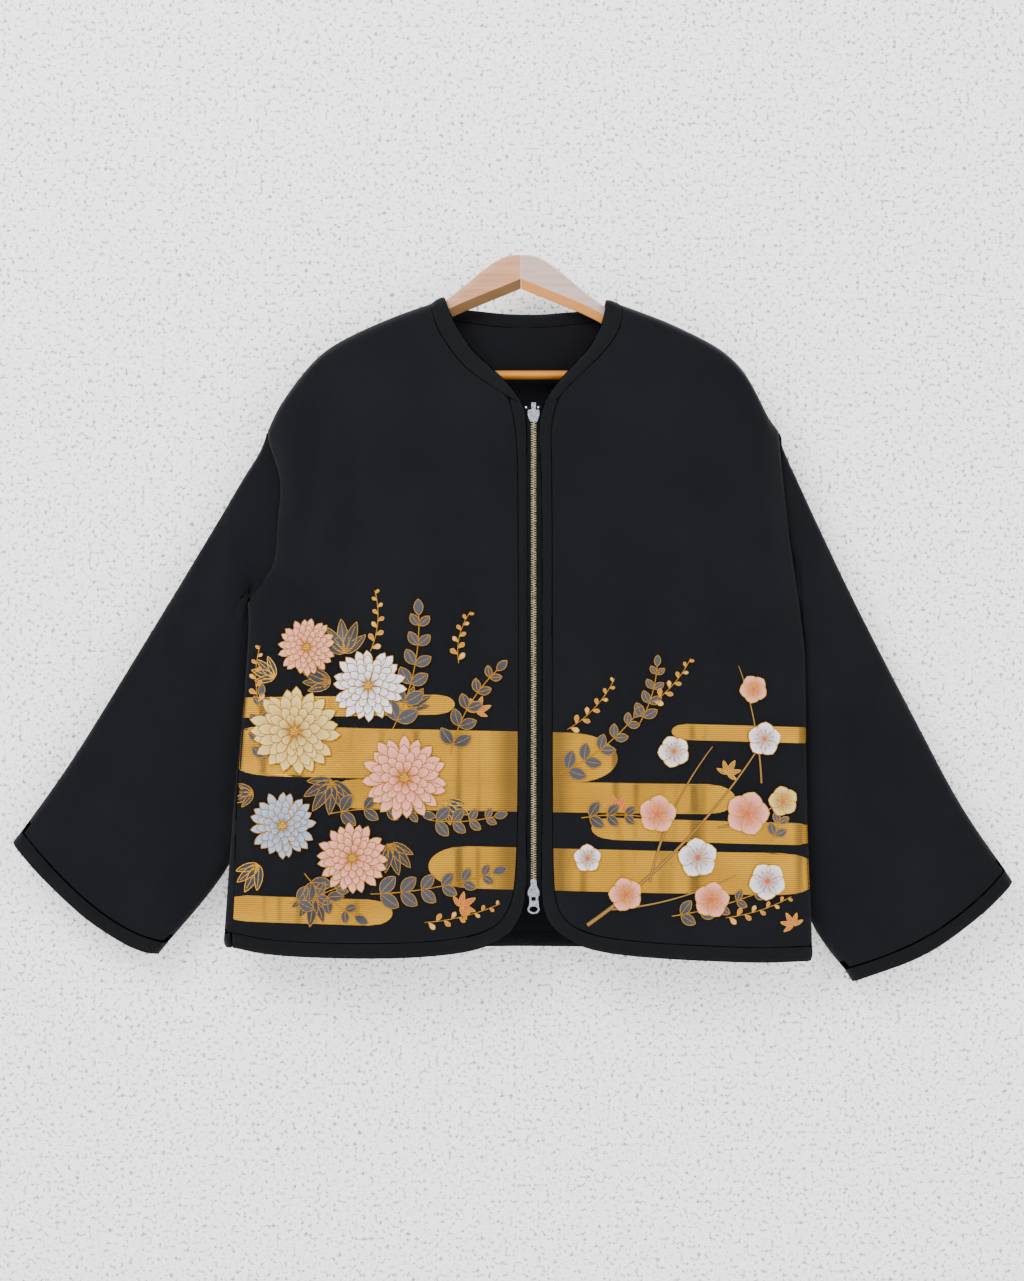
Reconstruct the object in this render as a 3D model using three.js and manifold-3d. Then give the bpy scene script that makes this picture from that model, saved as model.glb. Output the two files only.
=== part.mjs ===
// A padded, collarless zip jacket with wide sleeves, hanging flat on a wooden hanger.
// Millimetres, +Z up, and the front faces -Y. The origin is the middle of the hanger's top.
// Right and left are the wearer's, so the right side lies at -X.
import * as THREE from "three";
import { mergeVertices } from "three/addons/utils/BufferGeometryUtils.js";
import Module from "manifold-3d";

// Driving dimensions
const CLOTH = 4; // the padded wall
const SEAM_GAP = 0.3; // between neighbouring pieces
const FOLD_RADIUS = 7; // outside of the fold down each side
const SHOULDER_RADIUS = 12; // outside of the fold over the hanger
const SHOULDER_DEPTH = 14; // half the jacket's depth over the hanger
const CHEST_DEPTH = 27; // half the jacket's depth at its middle
const SLEEVE_DEPTH = 17; // the flat sleeve's whole depth at its folds
const SLEEVE_SWELL = 5; // more depth in the sleeve's middle, front and back
const SLEEVE_LAG = 10.5; // how far the sleeve's under fold lies behind its top fold
const HEM_BAND = 15.5; // width of the bound edge at hems
const BAND_SWELL = 2.8; // half the bound edge's thickness at its fullest
const ZIP_CENTRE = 12.5; // the zip lies this far to the wearer's left
const TAPE_THICKNESS = 1;
const TEETH_THICKNESS = 2.6;
const HANGER_THICKNESS = 15;
const BAR_RADIUS = 4.5;
const BAR_HEIGHT = -121;

// Outlines in the plane of the hanger, columns x, z. A side's rows run from the shoulder's tip.
const SIDES = {
  right: {
    sign: -1,
    shoulder: [
      [-254, -177], [-242, -152], [-226, -129], [-210, -108], [-198, -96], [-183, -87],
      [-161, -77], [-121, -60], [-91, -50],
    ],
    armhole: [
      [-254, -177], [-252, -197], [-241, -219], [-241, -247], [-246, -272], [-243, -295],
      [-250, -317], [-264, -337], [-274, -347],
    ],
    sideFold: [[-274, -347], [-273, -372], [-278, -447], [-284, -507], [-292, -597], [-298, -679]],
    backWrap: 13, // how far the back comes round to the front at the hem
    neckline: [[-91, -50], [-90, -57], [-86, -72], [-72, -96], [-53, -119], [-38, -129], [-12, -146]],
    frontEdge: [
      [-12, -146], [-8, -165], [-5, -185], [-4, -215], [-4, -607], [-5, -632], [-11, -652], [-24, -671],
    ],
    frontHem: [
      [-298, -679], [-286, -680], [-261, -685], [-221, -688], [-141, -689], [-101, -688], [-71, -685],
      [-44, -680], [-24, -671],
    ],
    backHem: [[-298, -679], [-261, -683], [-181, -685], [-81, -682], [1, -681]],
    backNeck: [[-91, -50], [-89, -57], [-78, -64], [-50, -68], [-20, -72.5], [1, -73]],
    neckEdge: [[-77, -43], [-70, -63], [-53, -93], [-28, -117], [-13, -131], [2, -152]],
    backNeckEdge: [[-77, -43], [-75, -50], [-66, -54], [-45, -55], [-22, -58], [1, -59]],
    frontBand: 8.5, // width of the bound edge beside the zip
    sleeveTop: [
      [-258, -188], [-285, -233], [-301, -261], [-321, -294], [-353, -347], [-402, -427], [-451, -507],
      [-492, -567],
    ],
    sleeveUnder: [
      [-287, -374], [-282, -405], [-269, -447], [-264, -490], [-271, -537], [-283, -597], [-299, -627],
      [-330, -661],
    ],
    cuffEdge: [
      [-511.5, -590], [-499, -607], [-480, -627], [-460, -647], [-439, -667], [-410, -687], [-387, -700],
      [-366, -704],
    ],
  },
  left: {
    sign: 1,
    shoulder: [
      [258, -177], [249, -165], [240, -147], [230, -127], [218, -106], [205, -97], [185, -87],
      [159, -72], [119, -58], [101, -51],
    ],
    armhole: [[258, -177], [262, -217], [267, -267], [274, -317], [281, -367], [285, -402]],
    sideFold: [[285, -402], [286, -450], [286, -497], [288, -590], [291, -660], [292, -693]],
    backWrap: 0,
    neckline: [[101, -51], [102, -59], [100, -75], [82, -101], [54, -128], [37, -147]],
    frontEdge: [
      [37, -147], [31, -165], [30, -185], [31, -215], [32, -607], [33, -637], [37, -655], [45, -667],
    ],
    frontHem: [
      [292, -693], [239, -694], [199, -692], [159, -690], [119, -687], [95, -685], [66, -679], [45, -667],
    ],
    backHem: [[292, -693], [239, -692], [159, -687], [79, -682], [1, -681]],
    backNeck: [[101, -51], [99, -58], [88, -65], [65, -68], [30, -72], [1, -73]],
    neckEdge: [[85, -46], [84, -60], [72, -90], [47, -118], [31, -138], [22, -153]],
    backNeckEdge: [[85, -46], [84, -52], [74, -55], [52, -56], [24, -59], [1, -59]],
    frontBand: 10.5,
    sleeveTop: [
      [260, -188], [270, -207], [297, -267], [335, -347], [376, -427], [418, -507], [459, -585],
      [469, -597],
    ],
    sleeveUnder: [
      [290, -428], [283, -458], [272, -505], [268, -560], [276, -617], [292, -676], [307, -697],
      [321, -714],
    ],
    cuffEdge: [
      [495, -630], [481, -647], [458, -667], [433, -687], [411, -702], [390, -712], [354, -725],
      [335, -732],
    ],
  },
};

// Hanger arms, columns: distance from the middle, top height, bottom height.
const HANGER_ARM = [
  [0, 0, -34],
  [12, -0.9, -39],
  [24, -6, -43.8],
  [36, -14.2, -48.7],
  [47, -23.2, -53.2],
  [60, -34, -58.6],
  [76, -46.5, -66.5],
  [92, -57, -76],
  [122, -67, -92],
  [150, -79.5, -106],
  [176, -91, -126],
  [194, -101.5, -132],
  [204, -109, -131],
];

// Soft folds in the cloth, columns: x and z of one end, x and z of the other, width, height outwards.
const FRONT_FOLDS = [
  [-196, -167, -233, -292, 13, 4],
  [-213, -122, -238, -230, 12, 3.5],
  [216, -104, 247, -287, 13, 4.5],
  [-232, -322, -262, -352, 10, 3],
];
const SLEEVE_FOLDS = [
  [-262, -215, -266, -330, 10, 3.5],
  [268, -235, 297, -367, 11, 4],
  [297, -367, 303, -600, 16, 4],
  [-300, -480, -330, -640, 16, -3],
];

// Shares of a panel's width and height where its sections lie, after the rolled edges.
const FRONT_COLUMNS = [0.07, 0.12, 0.19, 0.3, 0.45, 0.62, 0.8, 0.92, 1];
const BACK_COLUMNS = [0.07, 0.13, 0.22, 0.38, 0.58, 0.8, 1];
const BACK_NECK_COLUMNS = [0.08, 0.2, 0.45, 0.75, 1];
const UNDERARM_EASE = 1.5; // the back's corner under the arm is cut back this much
const NEAR_UNDERARM = 0.035; // rows this near it belong to the back's corner
const UNDERARM_ROW = 0.34; // share of the height where the armhole and the neckline end
const UPPER_ROWS = [0.18, 0.3, 0.44, 0.58, 0.72, 0.84, 0.93, 1];
const LOWER_ROWS = [0.05, 0.1, 0.18, 0.3, 0.45, 0.62, 0.8, 0.93, 0.97, 1];
const SLEEVE_RINGS = [0, 0.04, 0.08, 0.13, 0.2, 0.3, 0.42, 0.56, 0.7, 0.85, 1];
const SLEEVE_COLUMNS = UPPER_ROWS.slice(0, -1); // the same shares as the armhole's rows
const NECK_SHARE = 0.72; // share of the back's top edge where the shoulder ends and the neck begins

// How the body fills out from its edges, in mm from the shoulder's fold and the side's.
const PANEL_HEIGHT = 560;
const CHEST_DROP = 190;
const CHEST_REACH = 230;
const SHOULDER_REACH = 40;

const clamp = THREE.MathUtils.clamp;
const lerp = THREE.MathUtils.lerp;
const smooth = (value, from, to) => THREE.MathUtils.smoothstep(value, from, to);
const point = (x, y, z) => new THREE.Vector3(x, y, z);
const jacket = new THREE.Group();

// A smooth line through a table of x and z, read by its share of length from 0 to 1.
function line(rows) {
  const path = new THREE.CatmullRomCurve3(rows.map(([x, z]) => point(x, 0, z)), false, "centripetal");
  path.arcLengthDivisions = 300;
  return (share) => path.getPointAt(clamp(share, 0, 1));
}

// Two lines end to end, where the first ends at the share called key.
function joined(first, second, key) {
  return (share) => (share < key ? first(share / key) : second((share - key) / (1 - key)));
}

// A flat patch between four lines: start and end run with v, top and bottom run with u.
function patch(start, end, top, bottom) {
  const corners = [top(0), top(1), bottom(0), bottom(1)];
  return (u, v) => {
    const across = start(v).multiplyScalar(1 - u).addScaledVector(end(v), u);
    const down = top(u).multiplyScalar(1 - v).addScaledVector(bottom(u), v);
    const shares = [(1 - u) * (1 - v), u * (1 - v), (1 - u) * v, u * v];
    corners.forEach((corner, index) => across.addScaledVector(corner, -shares[index]));
    return across.add(down);
  };
}

// A rolled edge: how far in, and what share of the depth, a distance round the roll comes to.
function roll(arc, radius) {
  const quarter = (radius * Math.PI) / 2;
  if (arc >= quarter) return { inward: radius + arc - quarter, depth: 1 };
  return { inward: radius * (1 - Math.cos(arc / radius)), depth: Math.sin(arc / radius) };
}

function foldHeight(folds, x, z) {
  let height = 0;
  for (const [x0, z0, x1, z1, width, rise] of folds) {
    const length = Math.hypot(x1 - x0, z1 - z0);
    const along = ((x - x0) * (x1 - x0) + (z - z0) * (z1 - z0)) / length;
    const aside = ((x - x0) * (z1 - z0) - (z - z0) * (x1 - x0)) / length;
    const ends = smooth(along, -width, width) * (1 - smooth(along, length - width, length + width));
    height += rise * ends * Math.exp(-((aside / width) ** 2));
  }
  return height;
}

// Solids: every mesh is a list of points and a list of corner numbers, closed and facing out.
function solid(points, corners) {
  let volume = 0;
  for (let i = 0; i < corners.length; i += 3) {
    const [a, b, c] = [points[corners[i]], points[corners[i + 1]], points[corners[i + 2]]];
    volume += a.dot(point(0, 0, 0).crossVectors(b, c));
  }
  const order = volume < 0 ? [...corners].reverse() : corners;
  const geometry = new THREE.BufferGeometry().setFromPoints(points);
  geometry.setIndex(order);
  geometry.computeVertexNormals();
  return geometry;
}

// The inner side of a wall: each point moved in by the thickness, square to the surface.
function innerSide(rows, thickness, closedAcross, settle) {
  const last = rows.length - 1;
  const wide = rows[0].length;
  return rows.map((row, i) =>
    row.map((here, j) => {
      const before = closedAcross ? row[(j + wide - 1) % wide] : row[Math.max(0, j - 1)];
      const after = closedAcross ? row[(j + 1) % wide] : row[Math.min(wide - 1, j + 1)];
      const down = rows[Math.min(last, i + 1)][j].clone().sub(rows[Math.max(0, i - 1)][j]);
      const across = after.clone().sub(before);
      const inward = across.cross(down).normalize();
      return settle(here.clone().addScaledVector(inward, thickness), here, i, j);
    }),
  );
}

// A wall between an outer and an inner grid, closed round its free edges.
function wall(outer, inner, closedAcross) {
  const high = outer.length;
  const wide = outer[0].length;
  const points = [...outer.flat(), ...inner.flat()];
  const shift = high * wide;
  const at = (i, j) => i * wide + (j % wide);
  const spans = closedAcross ? wide : wide - 1;
  const corners = [];
  const face = (a, b, c, d) => corners.push(a, b, c, a, c, d);
  for (let i = 0; i < high - 1; i += 1) {
    for (let j = 0; j < spans; j += 1) {
      face(at(i, j), at(i, j + 1), at(i + 1, j + 1), at(i + 1, j));
      face(shift + at(i, j), shift + at(i + 1, j), shift + at(i + 1, j + 1), shift + at(i, j + 1));
    }
  }
  for (let j = 0; j < spans; j += 1) {
    face(at(0, j + 1), at(0, j), shift + at(0, j), shift + at(0, j + 1));
    face(at(high - 1, j), at(high - 1, j + 1), shift + at(high - 1, j + 1), shift + at(high - 1, j));
  }
  if (!closedAcross) {
    for (let i = 0; i < high - 1; i += 1) {
      face(at(i, 0), at(i + 1, 0), shift + at(i + 1, 0), shift + at(i, 0));
      face(at(i + 1, wide - 1), at(i, wide - 1), shift + at(i, wide - 1), shift + at(i + 1, wide - 1));
    }
  }
  return solid(points, corners);
}

// A solid bar through rings of points, with flat ends cut from the section's own outline.
function loft(rings, section) {
  const wide = rings[0].length;
  const far = (rings.length - 1) * wide;
  const corners = [];
  for (let i = 0; i < rings.length - 1; i += 1) {
    for (let j = 0; j < wide; j += 1) {
      const next = (j + 1) % wide;
      const [a, b, c, d] = [i * wide + j, i * wide + next, (i + 1) * wide + next, (i + 1) * wide + j];
      corners.push(a, b, c, a, c, d);
    }
  }
  const outline = section.map(([a, b]) => new THREE.Vector2(a, b));
  const turn = Math.sign(THREE.ShapeUtils.area(outline));
  for (const [a, b, c] of THREE.ShapeUtils.triangulateShape(outline, [])) {
    const same = Math.sign(THREE.ShapeUtils.area([outline[a], outline[b], outline[c]])) === turn;
    corners.push(a, same ? c : b, same ? b : c);
    corners.push(far + a, far + (same ? b : c), far + (same ? c : b));
  }
  return solid(rings.flat(), corners);
}

function place(name, geometry, finish) {
  const mesh = new THREE.Mesh(geometry, new THREE.MeshStandardMaterial(finish));
  mesh.name = name;
  jacket.add(mesh);
}

const CLOTH_FINISH = { color: "#16171c", roughness: 0.85, metalness: 0 };
const BAND_FINISH = { color: "#131419", roughness: 0.85, metalness: 0 };
const TAPE_FINISH = { color: "#17181c", roughness: 0.8, metalness: 0 };
const METAL_FINISH = { color: "#c9c7c0", roughness: 0.3, metalness: 1 };
const WOOD_FINISH = { color: "#cfa277", roughness: 0.5, metalness: 0 };

const QUARTER = (FOLD_RADIUS * Math.PI) / 2;

// One side of the body: the faces of its front and back, as points on the outside of the cloth.
function bodySide(rows) {
  const fold = joined(line(rows.armhole), line(rows.sideFold), UNDERARM_ROW);
  const frontOpening = joined(line(rows.neckline), line(rows.frontEdge), UNDERARM_ROW);
  const shoulder = line(rows.shoulder);
  const backNeck = line(rows.backNeck);
  const backTop = joined(shoulder, backNeck, NECK_SHARE);
  const centreBack = line([rows.backNeck.at(-1), rows.backHem.at(-1)]);
  const frontPatch = patch(fold, frontOpening, shoulder, line(rows.frontHem));
  const backPatch = patch(fold, centreBack, backTop, line(rows.backHem));
  const wide = Math.abs(rows.backHem[0][0]);
  const depthAt = (inward, below, edge) => {
    const filled = Math.sin((Math.PI / 2) * Math.min(1, inward / CHEST_REACH));
    const chest = edge + (CHEST_DEPTH - edge) * filled;
    const hung = lerp(edge, Math.max(edge, SHOULDER_DEPTH), smooth(inward, 0, SHOULDER_REACH));
    return lerp(hung, chest, smooth(below, 0, CHEST_DROP));
  };
  const front = (arc, share, drop, v) => {
    const side = roll(arc, FOLD_RADIUS);
    const over = roll(drop, SHOULDER_RADIUS);
    const u = share ?? side.inward / wide;
    const row = v ?? over.inward / PANEL_HEIGHT;
    const flat = frontPatch(u, row);
    const hung = depthAt(u * wide, row * PANEL_HEIGHT, FOLD_RADIUS);
    const depth = hung + foldHeight(FRONT_FOLDS, flat.x, flat.z);
    const rolled = (share === null ? side.depth : 1) * (v === null ? over.depth : 1);
    flat.y = -SEAM_GAP / 2 - depth * rolled;
    return flat;
  };
  const back = (arc, share, drop, v) => {
    const side = roll(arc, FOLD_RADIUS);
    const over = roll(drop, SHOULDER_RADIUS);
    const u = share ?? side.inward / wide;
    const row = v ?? over.inward / PANEL_HEIGHT;
    const onSleeve = 1 - smooth(row, UNDERARM_ROW - 0.03, UNDERARM_ROW + 0.03);
    const edge = lerp(FOLD_RADIUS, SLEEVE_DEPTH, onSleeve);
    const flat = backPatch(u, row);
    const sideDepth = share === null ? Math.max(side.depth, onSleeve) : 1;
    const openNeck = smooth(u, NECK_SHARE, NECK_SHARE + 0.025);
    const topDepth = v === null ? Math.max(over.depth, openNeck) : 1;
    flat.y = SEAM_GAP / 2 + depthAt(u * wide, row * PANEL_HEIGHT, edge) * sideDepth * topDepth;
    return flat;
  };
  const wrap = (v) => rows.backWrap * smooth(v, UNDERARM_ROW + 0.1, 0.98);
  const square = (here, arc) => {
    const turn = Math.min(arc, QUARTER) / FOLD_RADIUS;
    return here.clone().add(point(-rows.sign * CLOTH * Math.cos(turn), CLOTH * Math.sin(turn), 0));
  };
  return { rows, front, back, wrap, square };
}

const FOLD_STEP = 0.8; // the back's first points, where it starts on the side fold
const WRAP_FROM = 0.5; // less than this and the side seam lies on the fold
const frontStart = (wrap) => wrap + (wrap > WRAP_FROM ? SEAM_GAP : SEAM_GAP / 2);
const SHOULDER_QUARTER = (SHOULDER_RADIUS * Math.PI) / 2;
const ROLL_STEPS = [0, 1 / 3, 2 / 3, 1];

// The rows of a panel: round the shoulder first, then shares of the height down to the hem seam.
const PANEL_ROWS = [
  ...ROLL_STEPS.map((step) => ({ drop: step * SHOULDER_QUARTER, v: null })),
  ...UPPER_ROWS.map((share) => ({ drop: null, v: share * UNDERARM_ROW })),
  ...LOWER_ROWS.map((share) => ({ drop: null, v: UNDERARM_ROW + share * (1 - UNDERARM_ROW) })),
];

function frontPanel(side) {
  const outer = PANEL_ROWS.map(({ drop, v }) => {
    const wrap = v === null ? 0 : side.wrap(v);
    const rolled = ROLL_STEPS.map((step) => side.front(frontStart(wrap) + step * QUARTER, null, drop, v));
    return [...rolled, ...FRONT_COLUMNS.map((share) => side.front(null, share, drop, v))];
  });
  const settle = (moved, here, i, j) => {
    const { v } = PANEL_ROWS[i];
    const wrap = v === null ? 0 : side.wrap(v);
    if (j === 0 && wrap > WRAP_FROM) return side.square(here, frontStart(wrap));
    moved.y = Math.min(moved.y, -SEAM_GAP / 2);
    if (i === 0) moved.setY(here.y);
    return moved;
  };
  return { outer, inner: inwardWall(outer, settle, -1) };
}

function backPanel(side) {
  const outer = PANEL_ROWS.map(({ drop, v }) => {
    const wrap = v === null ? 0 : side.wrap(v);
    const onFront = [1, 0.5].map((step) => step * wrap);
    const wrapped = wrap > WRAP_FROM;
    const first = onFront.map((arc, index) =>
      wrapped
        ? side.front(arc - (index === 0 ? SEAM_GAP : 0), null, drop, v)
        : side.back(index * FOLD_STEP, null, drop, v));
    const rollFrom = wrapped ? 0 : 2 * FOLD_STEP;
    const rolled = ROLL_STEPS.map((step) => side.back(rollFrom + step * QUARTER, null, drop, v));
    const across = BACK_COLUMNS.map((share) => side.back(null, share * NECK_SHARE, drop, v));
    const neck = BACK_NECK_COLUMNS.map((share) =>
      side.back(null, NECK_SHARE + share * (1 - NECK_SHARE), drop, v));
    const row = [...first, ...rolled, ...across, ...neck];
    row.at(-1).x += (side.rows.sign * SEAM_GAP) / 2;
    const corner = v === UNDERARM_ROW ? row.slice(0, 4) : [];
    corner.forEach((here) => here.setX(here.x - side.rows.sign * UNDERARM_EASE));
    return row;
  });
  const settle = (moved, here, i, j) => {
    const { v } = PANEL_ROWS[i];
    const wrap = v === null ? 0 : side.wrap(v);
    if (j === 0 && wrap > WRAP_FROM) return side.square(here, wrap - SEAM_GAP);
    if (j < 2 && v !== null && Math.abs(v - UNDERARM_ROW) < NEAR_UNDERARM) {
      const inward = 0.75 * CLOTH;
      return here.clone().add(point(-side.rows.sign * inward, v > UNDERARM_ROW ? 0 : -inward, 0));
    }
    if (wrap <= WRAP_FROM) moved.setY(Math.max(moved.y, SEAM_GAP / 2));
    if (i === 0 && here.y < 1) moved.setY(here.y);
    if (j === outer[0].length - 1) moved.setX(here.x);
    return moved;
  };
  return { outer, inner: inwardWall(outer, settle, 1) };
}

// The inner grid, on whichever side of the outer one lies nearer the hollow.
function inwardWall(outer, settle, facing) {
  const sample = innerSide(outer, 1, false, (moved) => moved);
  const middle = Math.floor(outer.length / 2);
  const across = Math.floor(outer[0].length * 0.7);
  const shift = sample[middle][across].y - outer[middle][across].y;
  const sign = Math.sign(shift) === -facing ? 1 : -1;
  return innerSide(outer, sign * CLOTH, false, settle);
}

const UNDERARM_CLEAR = 5.5; // the sleeve stands this far off the side fold before it passes behind
const ARMHOLE_LEAN = 1.5; // clears the body's edge along the armhole
const ARMHOLE_DROP = 0.6; // clears the shoulder's tip

// The flat sleeve: a tube of rings from the armhole to the cuff seam.
function sleeveSurface(rows) {
  const armhole = line(rows.armhole.map(([x, z], index) => {
    const nearUnderarm = smooth(index, rows.armhole.length - 4, rows.armhole.length - 1);
    const clear = ARMHOLE_LEAN + UNDERARM_CLEAR * nearUnderarm;
    return [x + rows.sign * clear, z - (index === 0 ? ARMHOLE_DROP : 0)];
  }));
  const [cuffTop, cuffLow] = [rows.cuffEdge[0], rows.cuffEdge.at(-1)];
  const [dx, dz] = [cuffTop[0] - cuffLow[0], cuffTop[1] - cuffLow[1]];
  const length = Math.hypot(dx, dz);
  const outward = point((-dz * HEM_BAND) / length, 0, (dx * HEM_BAND) / length).multiplyScalar(-rows.sign);
  const edge = line(rows.cuffEdge);
  const inward = rows.cuffEdge.map(([x, z]) => [x - outward.x, z - outward.z]);
  const cuff = line(inward);
  const start = armhole(0);
  const under = armhole(1);
  const top = line([[start.x, start.z], ...rows.sleeveTop, inward[0]]);
  const bottom = line([[under.x, under.z], ...rows.sleeveUnder, inward.at(-1)]);
  const bend = (end, w) => end(w).sub(end(0).lerp(end(1), w)); // how far an end curves off its chord
  const bySpan = (w, s) => {
    const underarm = smooth(w, 0.6, 0.9) * smooth(s, 0, 0.03) * (1 - smooth(s, 0.05, 0.16));
    return top(s).lerp(bottom(s), w)
      .addScaledVector(bend(armhole, w), (1 - s) ** 8)
      .addScaledVector(bend(cuff, w), s ** 3)
      .add(point(rows.sign * UNDERARM_CLEAR * underarm, 0, 0));
  };
  const yAt = (w, s) => {
    const behind = 2 + SLEEVE_LAG * smooth(w, 0.1, 1);
    return lerp(SEAM_GAP, behind, smooth(s, 0, 0.13)) + SLEEVE_DEPTH / 2;
  };
  const halfDepth = (w, s) =>
    SLEEVE_DEPTH / 2 + SLEEVE_SWELL * Math.sin(Math.PI * w) * smooth(s, 0, 0.35) * (1 - 0.5 * s);
  return { bySpan, yAt, halfDepth, cuff, edge, rows };
}

// Where a ring's points lie: the share across, and the share of the half depth, front then back.
function ringStations(width) {
  const radius = SLEEVE_DEPTH / 2;
  const quarter = (radius * Math.PI) / 2;
  const rolled = ROLL_STEPS.map((step) => {
    const { inward, depth } = roll(step * quarter, radius);
    return [inward / width, depth];
  });
  const half = [
    ...rolled,
    ...SLEEVE_COLUMNS.map((share) => [share, 1]),
    ...[...rolled].reverse().map(([share, depth]) => [1 - share, depth]),
  ];
  const frontHalf = half.map(([w, depth]) => [w, -depth]);
  const backHalf = half.slice(1, -1).reverse().map(([w, depth]) => [w, depth]);
  return [...frontHalf, ...backHalf];
}

function sleeveRing(sleeve, s) {
  const width = sleeve.bySpan(0, s).distanceTo(sleeve.bySpan(1, s));
  return ringStations(width).map(([w, depth]) => {
    const here = sleeve.bySpan(w, s);
    const fold = foldHeight(SLEEVE_FOLDS, here.x, here.z) * Math.max(0, -depth) * smooth(s, 0.02, 0.15);
    here.y = Math.max(SEAM_GAP, sleeve.yAt(w, s) + depth * sleeve.halfDepth(w, s) - fold);
    return here;
  });
}

// The wall of a tube. Where the sleeve leaves the armhole, its cut edge runs along the armhole.
const EDGE_STEP = 2; // how far the inner edge stands out from the outer one under the arm
const SLIDE_FROM = 0.4; // less than this across and the inner edge isn't slid along the tube

function tubeWall(rings, thickness) {
  const away = Math.sign(rings[1][0].x - rings[0][0].x);
  const heights = rings[0].map((here) => here.z);
  const lowThird = lerp(Math.min(...heights), Math.max(...heights), 0.3);
  const keep = (moved, here, i, j) => {
    const along = rings[Math.min(i + 1, rings.length - 1)][j].clone().sub(rings[Math.max(0, i)][j]);
    const back = (here.x - moved.x) * away;
    const slides = along.x * away > SLIDE_FROM * along.length() && here.z > lowThird;
    if (i === 0 && back > 0 && slides) moved.addScaledVector(along, back / (along.x * away));
    if (i === 0 && !slides) moved.setX(away * Math.max(moved.x * away, here.x * away + EDGE_STEP));
    return moved.setY(Math.max(moved.y, SEAM_GAP));
  };
  const ring = Math.floor(rings.length / 2);
  const trial = innerSide(rings, 1, true, (moved) => moved);
  const depthOf = (row) => Math.max(...row.map((here) => here.y)) - Math.min(...row.map((here) => here.y));
  const nearer = depthOf(trial[ring]) < depthOf(rings[ring]);
  return wall(rings, innerSide(rings, nearer ? thickness : -thickness, true, keep), true);
}

function cuffRings(sleeve) {
  const seam = sleeveRing(sleeve, 1);
  const stations = ringStations(sleeve.bySpan(0, 1).distanceTo(sleeve.bySpan(1, 1)));
  return [SEAM_GAP / HEM_BAND, 0.35, 0.75, 1].map((share, index) =>
    seam.map((here, j) => {
      const [w, depth] = stations[j];
      const shift = sleeve.edge(w).sub(sleeve.cuff(w)).multiplyScalar(share);
      const puff = [0.2, 0.9, 0.8, -0.4][index] * depth;
      return here.clone().add(shift).setY(here.y + puff);
    }));
}

// A bound edge between a seam line and a free line, both in space, with a swollen section.
const BAND_SECTION = [
  [0, 0.72], [0.35, 1], [0.78, 0.9], [1, 0.3], [1, -0.3], [0.78, -0.9], [0.35, -1], [0, -0.72],
];

const BAND_GAP = 0.75; // clears the panel's edge where the seam bends

// A station moved a little towards its neighbour, so that two bands' ends stay apart.
function drawnBack(stations, index, neighbour) {
  const gap = stations[index].distanceTo(stations[neighbour]);
  stations[index].lerp(stations[neighbour], Math.min(0.5, BAND_GAP / gap));
}

function band(seam, edge) {
  const last = seam.length - 1;
  const rings = seam.map((here, i) => {
    const [prior, following] = [Math.max(0, i - 1), Math.min(last, i + 1)];
    const across = edge[i].clone().sub(here);
    const next = seam[following].clone().add(edge[following]);
    const before = seam[prior].clone().add(edge[prior]);
    const outwards = next.sub(before).cross(across).normalize();
    const arriving = here.clone().sub(seam[prior]);
    const turn = i > 0 && i < last ? seam[following].clone().sub(here).angleTo(arriving) : 0;
    const gap = (BAND_GAP * (1 + turn)) / across.length();
    return BAND_SECTION.map(([share, swell]) => {
      const onBand = here.clone().addScaledVector(across, gap + share * (1 - gap));
      return onBand.addScaledVector(outwards, swell * BAND_SWELL);
    });
  });
  return loft(rings, BAND_SECTION.map(([share, swell]) => [share * 10, swell * 3]));
}

const middle = (grids, i, j) => grids.outer[i][j].clone().add(grids.inner[i][j]).multiplyScalar(0.5);
const NECK_ROW = ROLL_STEPS.length + UPPER_ROWS.length - 1; // the row where the neckline ends
const LAST_ROW = PANEL_ROWS.length - 1;
const FRONT_LAST = ROLL_STEPS.length + FRONT_COLUMNS.length - 1;
const BACK_NECK_COLUMN = 2 + ROLL_STEPS.length + BACK_COLUMNS.length - 1;
const BACK_LAST = BACK_NECK_COLUMN + BACK_NECK_COLUMNS.length;

// The free line of a band, matched to its seam line by the share of the way along.
function matched(seam, rows) {
  const path = line(rows);
  const step = (a, b) => Math.hypot(a.x - b.x, a.z - b.z);
  const lengths = seam.map((here, i) => (i === 0 ? 0 : step(here, seam[i - 1])));
  const total = lengths.reduce((sum, length) => sum + length, 0);
  let gone = 0;
  return seam.map((here, i) => {
    gone += lengths[i];
    return path(gone / total).setY(here.y);
  });
}

// Half of the neck band, from the zip's top up to the shoulder and round to the centre of the back.
function neckHalf(side, grids) {
  const frontSeam = [];
  for (let i = 0; i <= NECK_ROW; i += 1) frontSeam.push(middle(grids.front, i, FRONT_LAST));
  const backSeam = [];
  for (let j = BACK_NECK_COLUMN; j <= BACK_LAST; j += 1) backSeam.push(middle(grids.back, 0, j));
  const frontEdge = matched(frontSeam, side.rows.neckEdge).reverse();
  const backEdge = matched(backSeam, side.rows.backNeckEdge);
  frontSeam.reverse();
  const crown = frontSeam.pop().add(backSeam.shift()).multiplyScalar(0.5);
  const crownEdge = frontEdge.pop().add(backEdge.shift()).multiplyScalar(0.5);
  crownEdge.z -= 1;
  return { seam: [...frontSeam, crown, ...backSeam], edge: [...frontEdge, crownEdge, ...backEdge] };
}

function neckBand(right, left) {
  const seam = [...right.seam, ...[...left.seam].reverse().slice(1)];
  const edge = [...right.edge, ...[...left.edge].reverse().slice(1)];
  return band(seam, edge);
}

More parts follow.
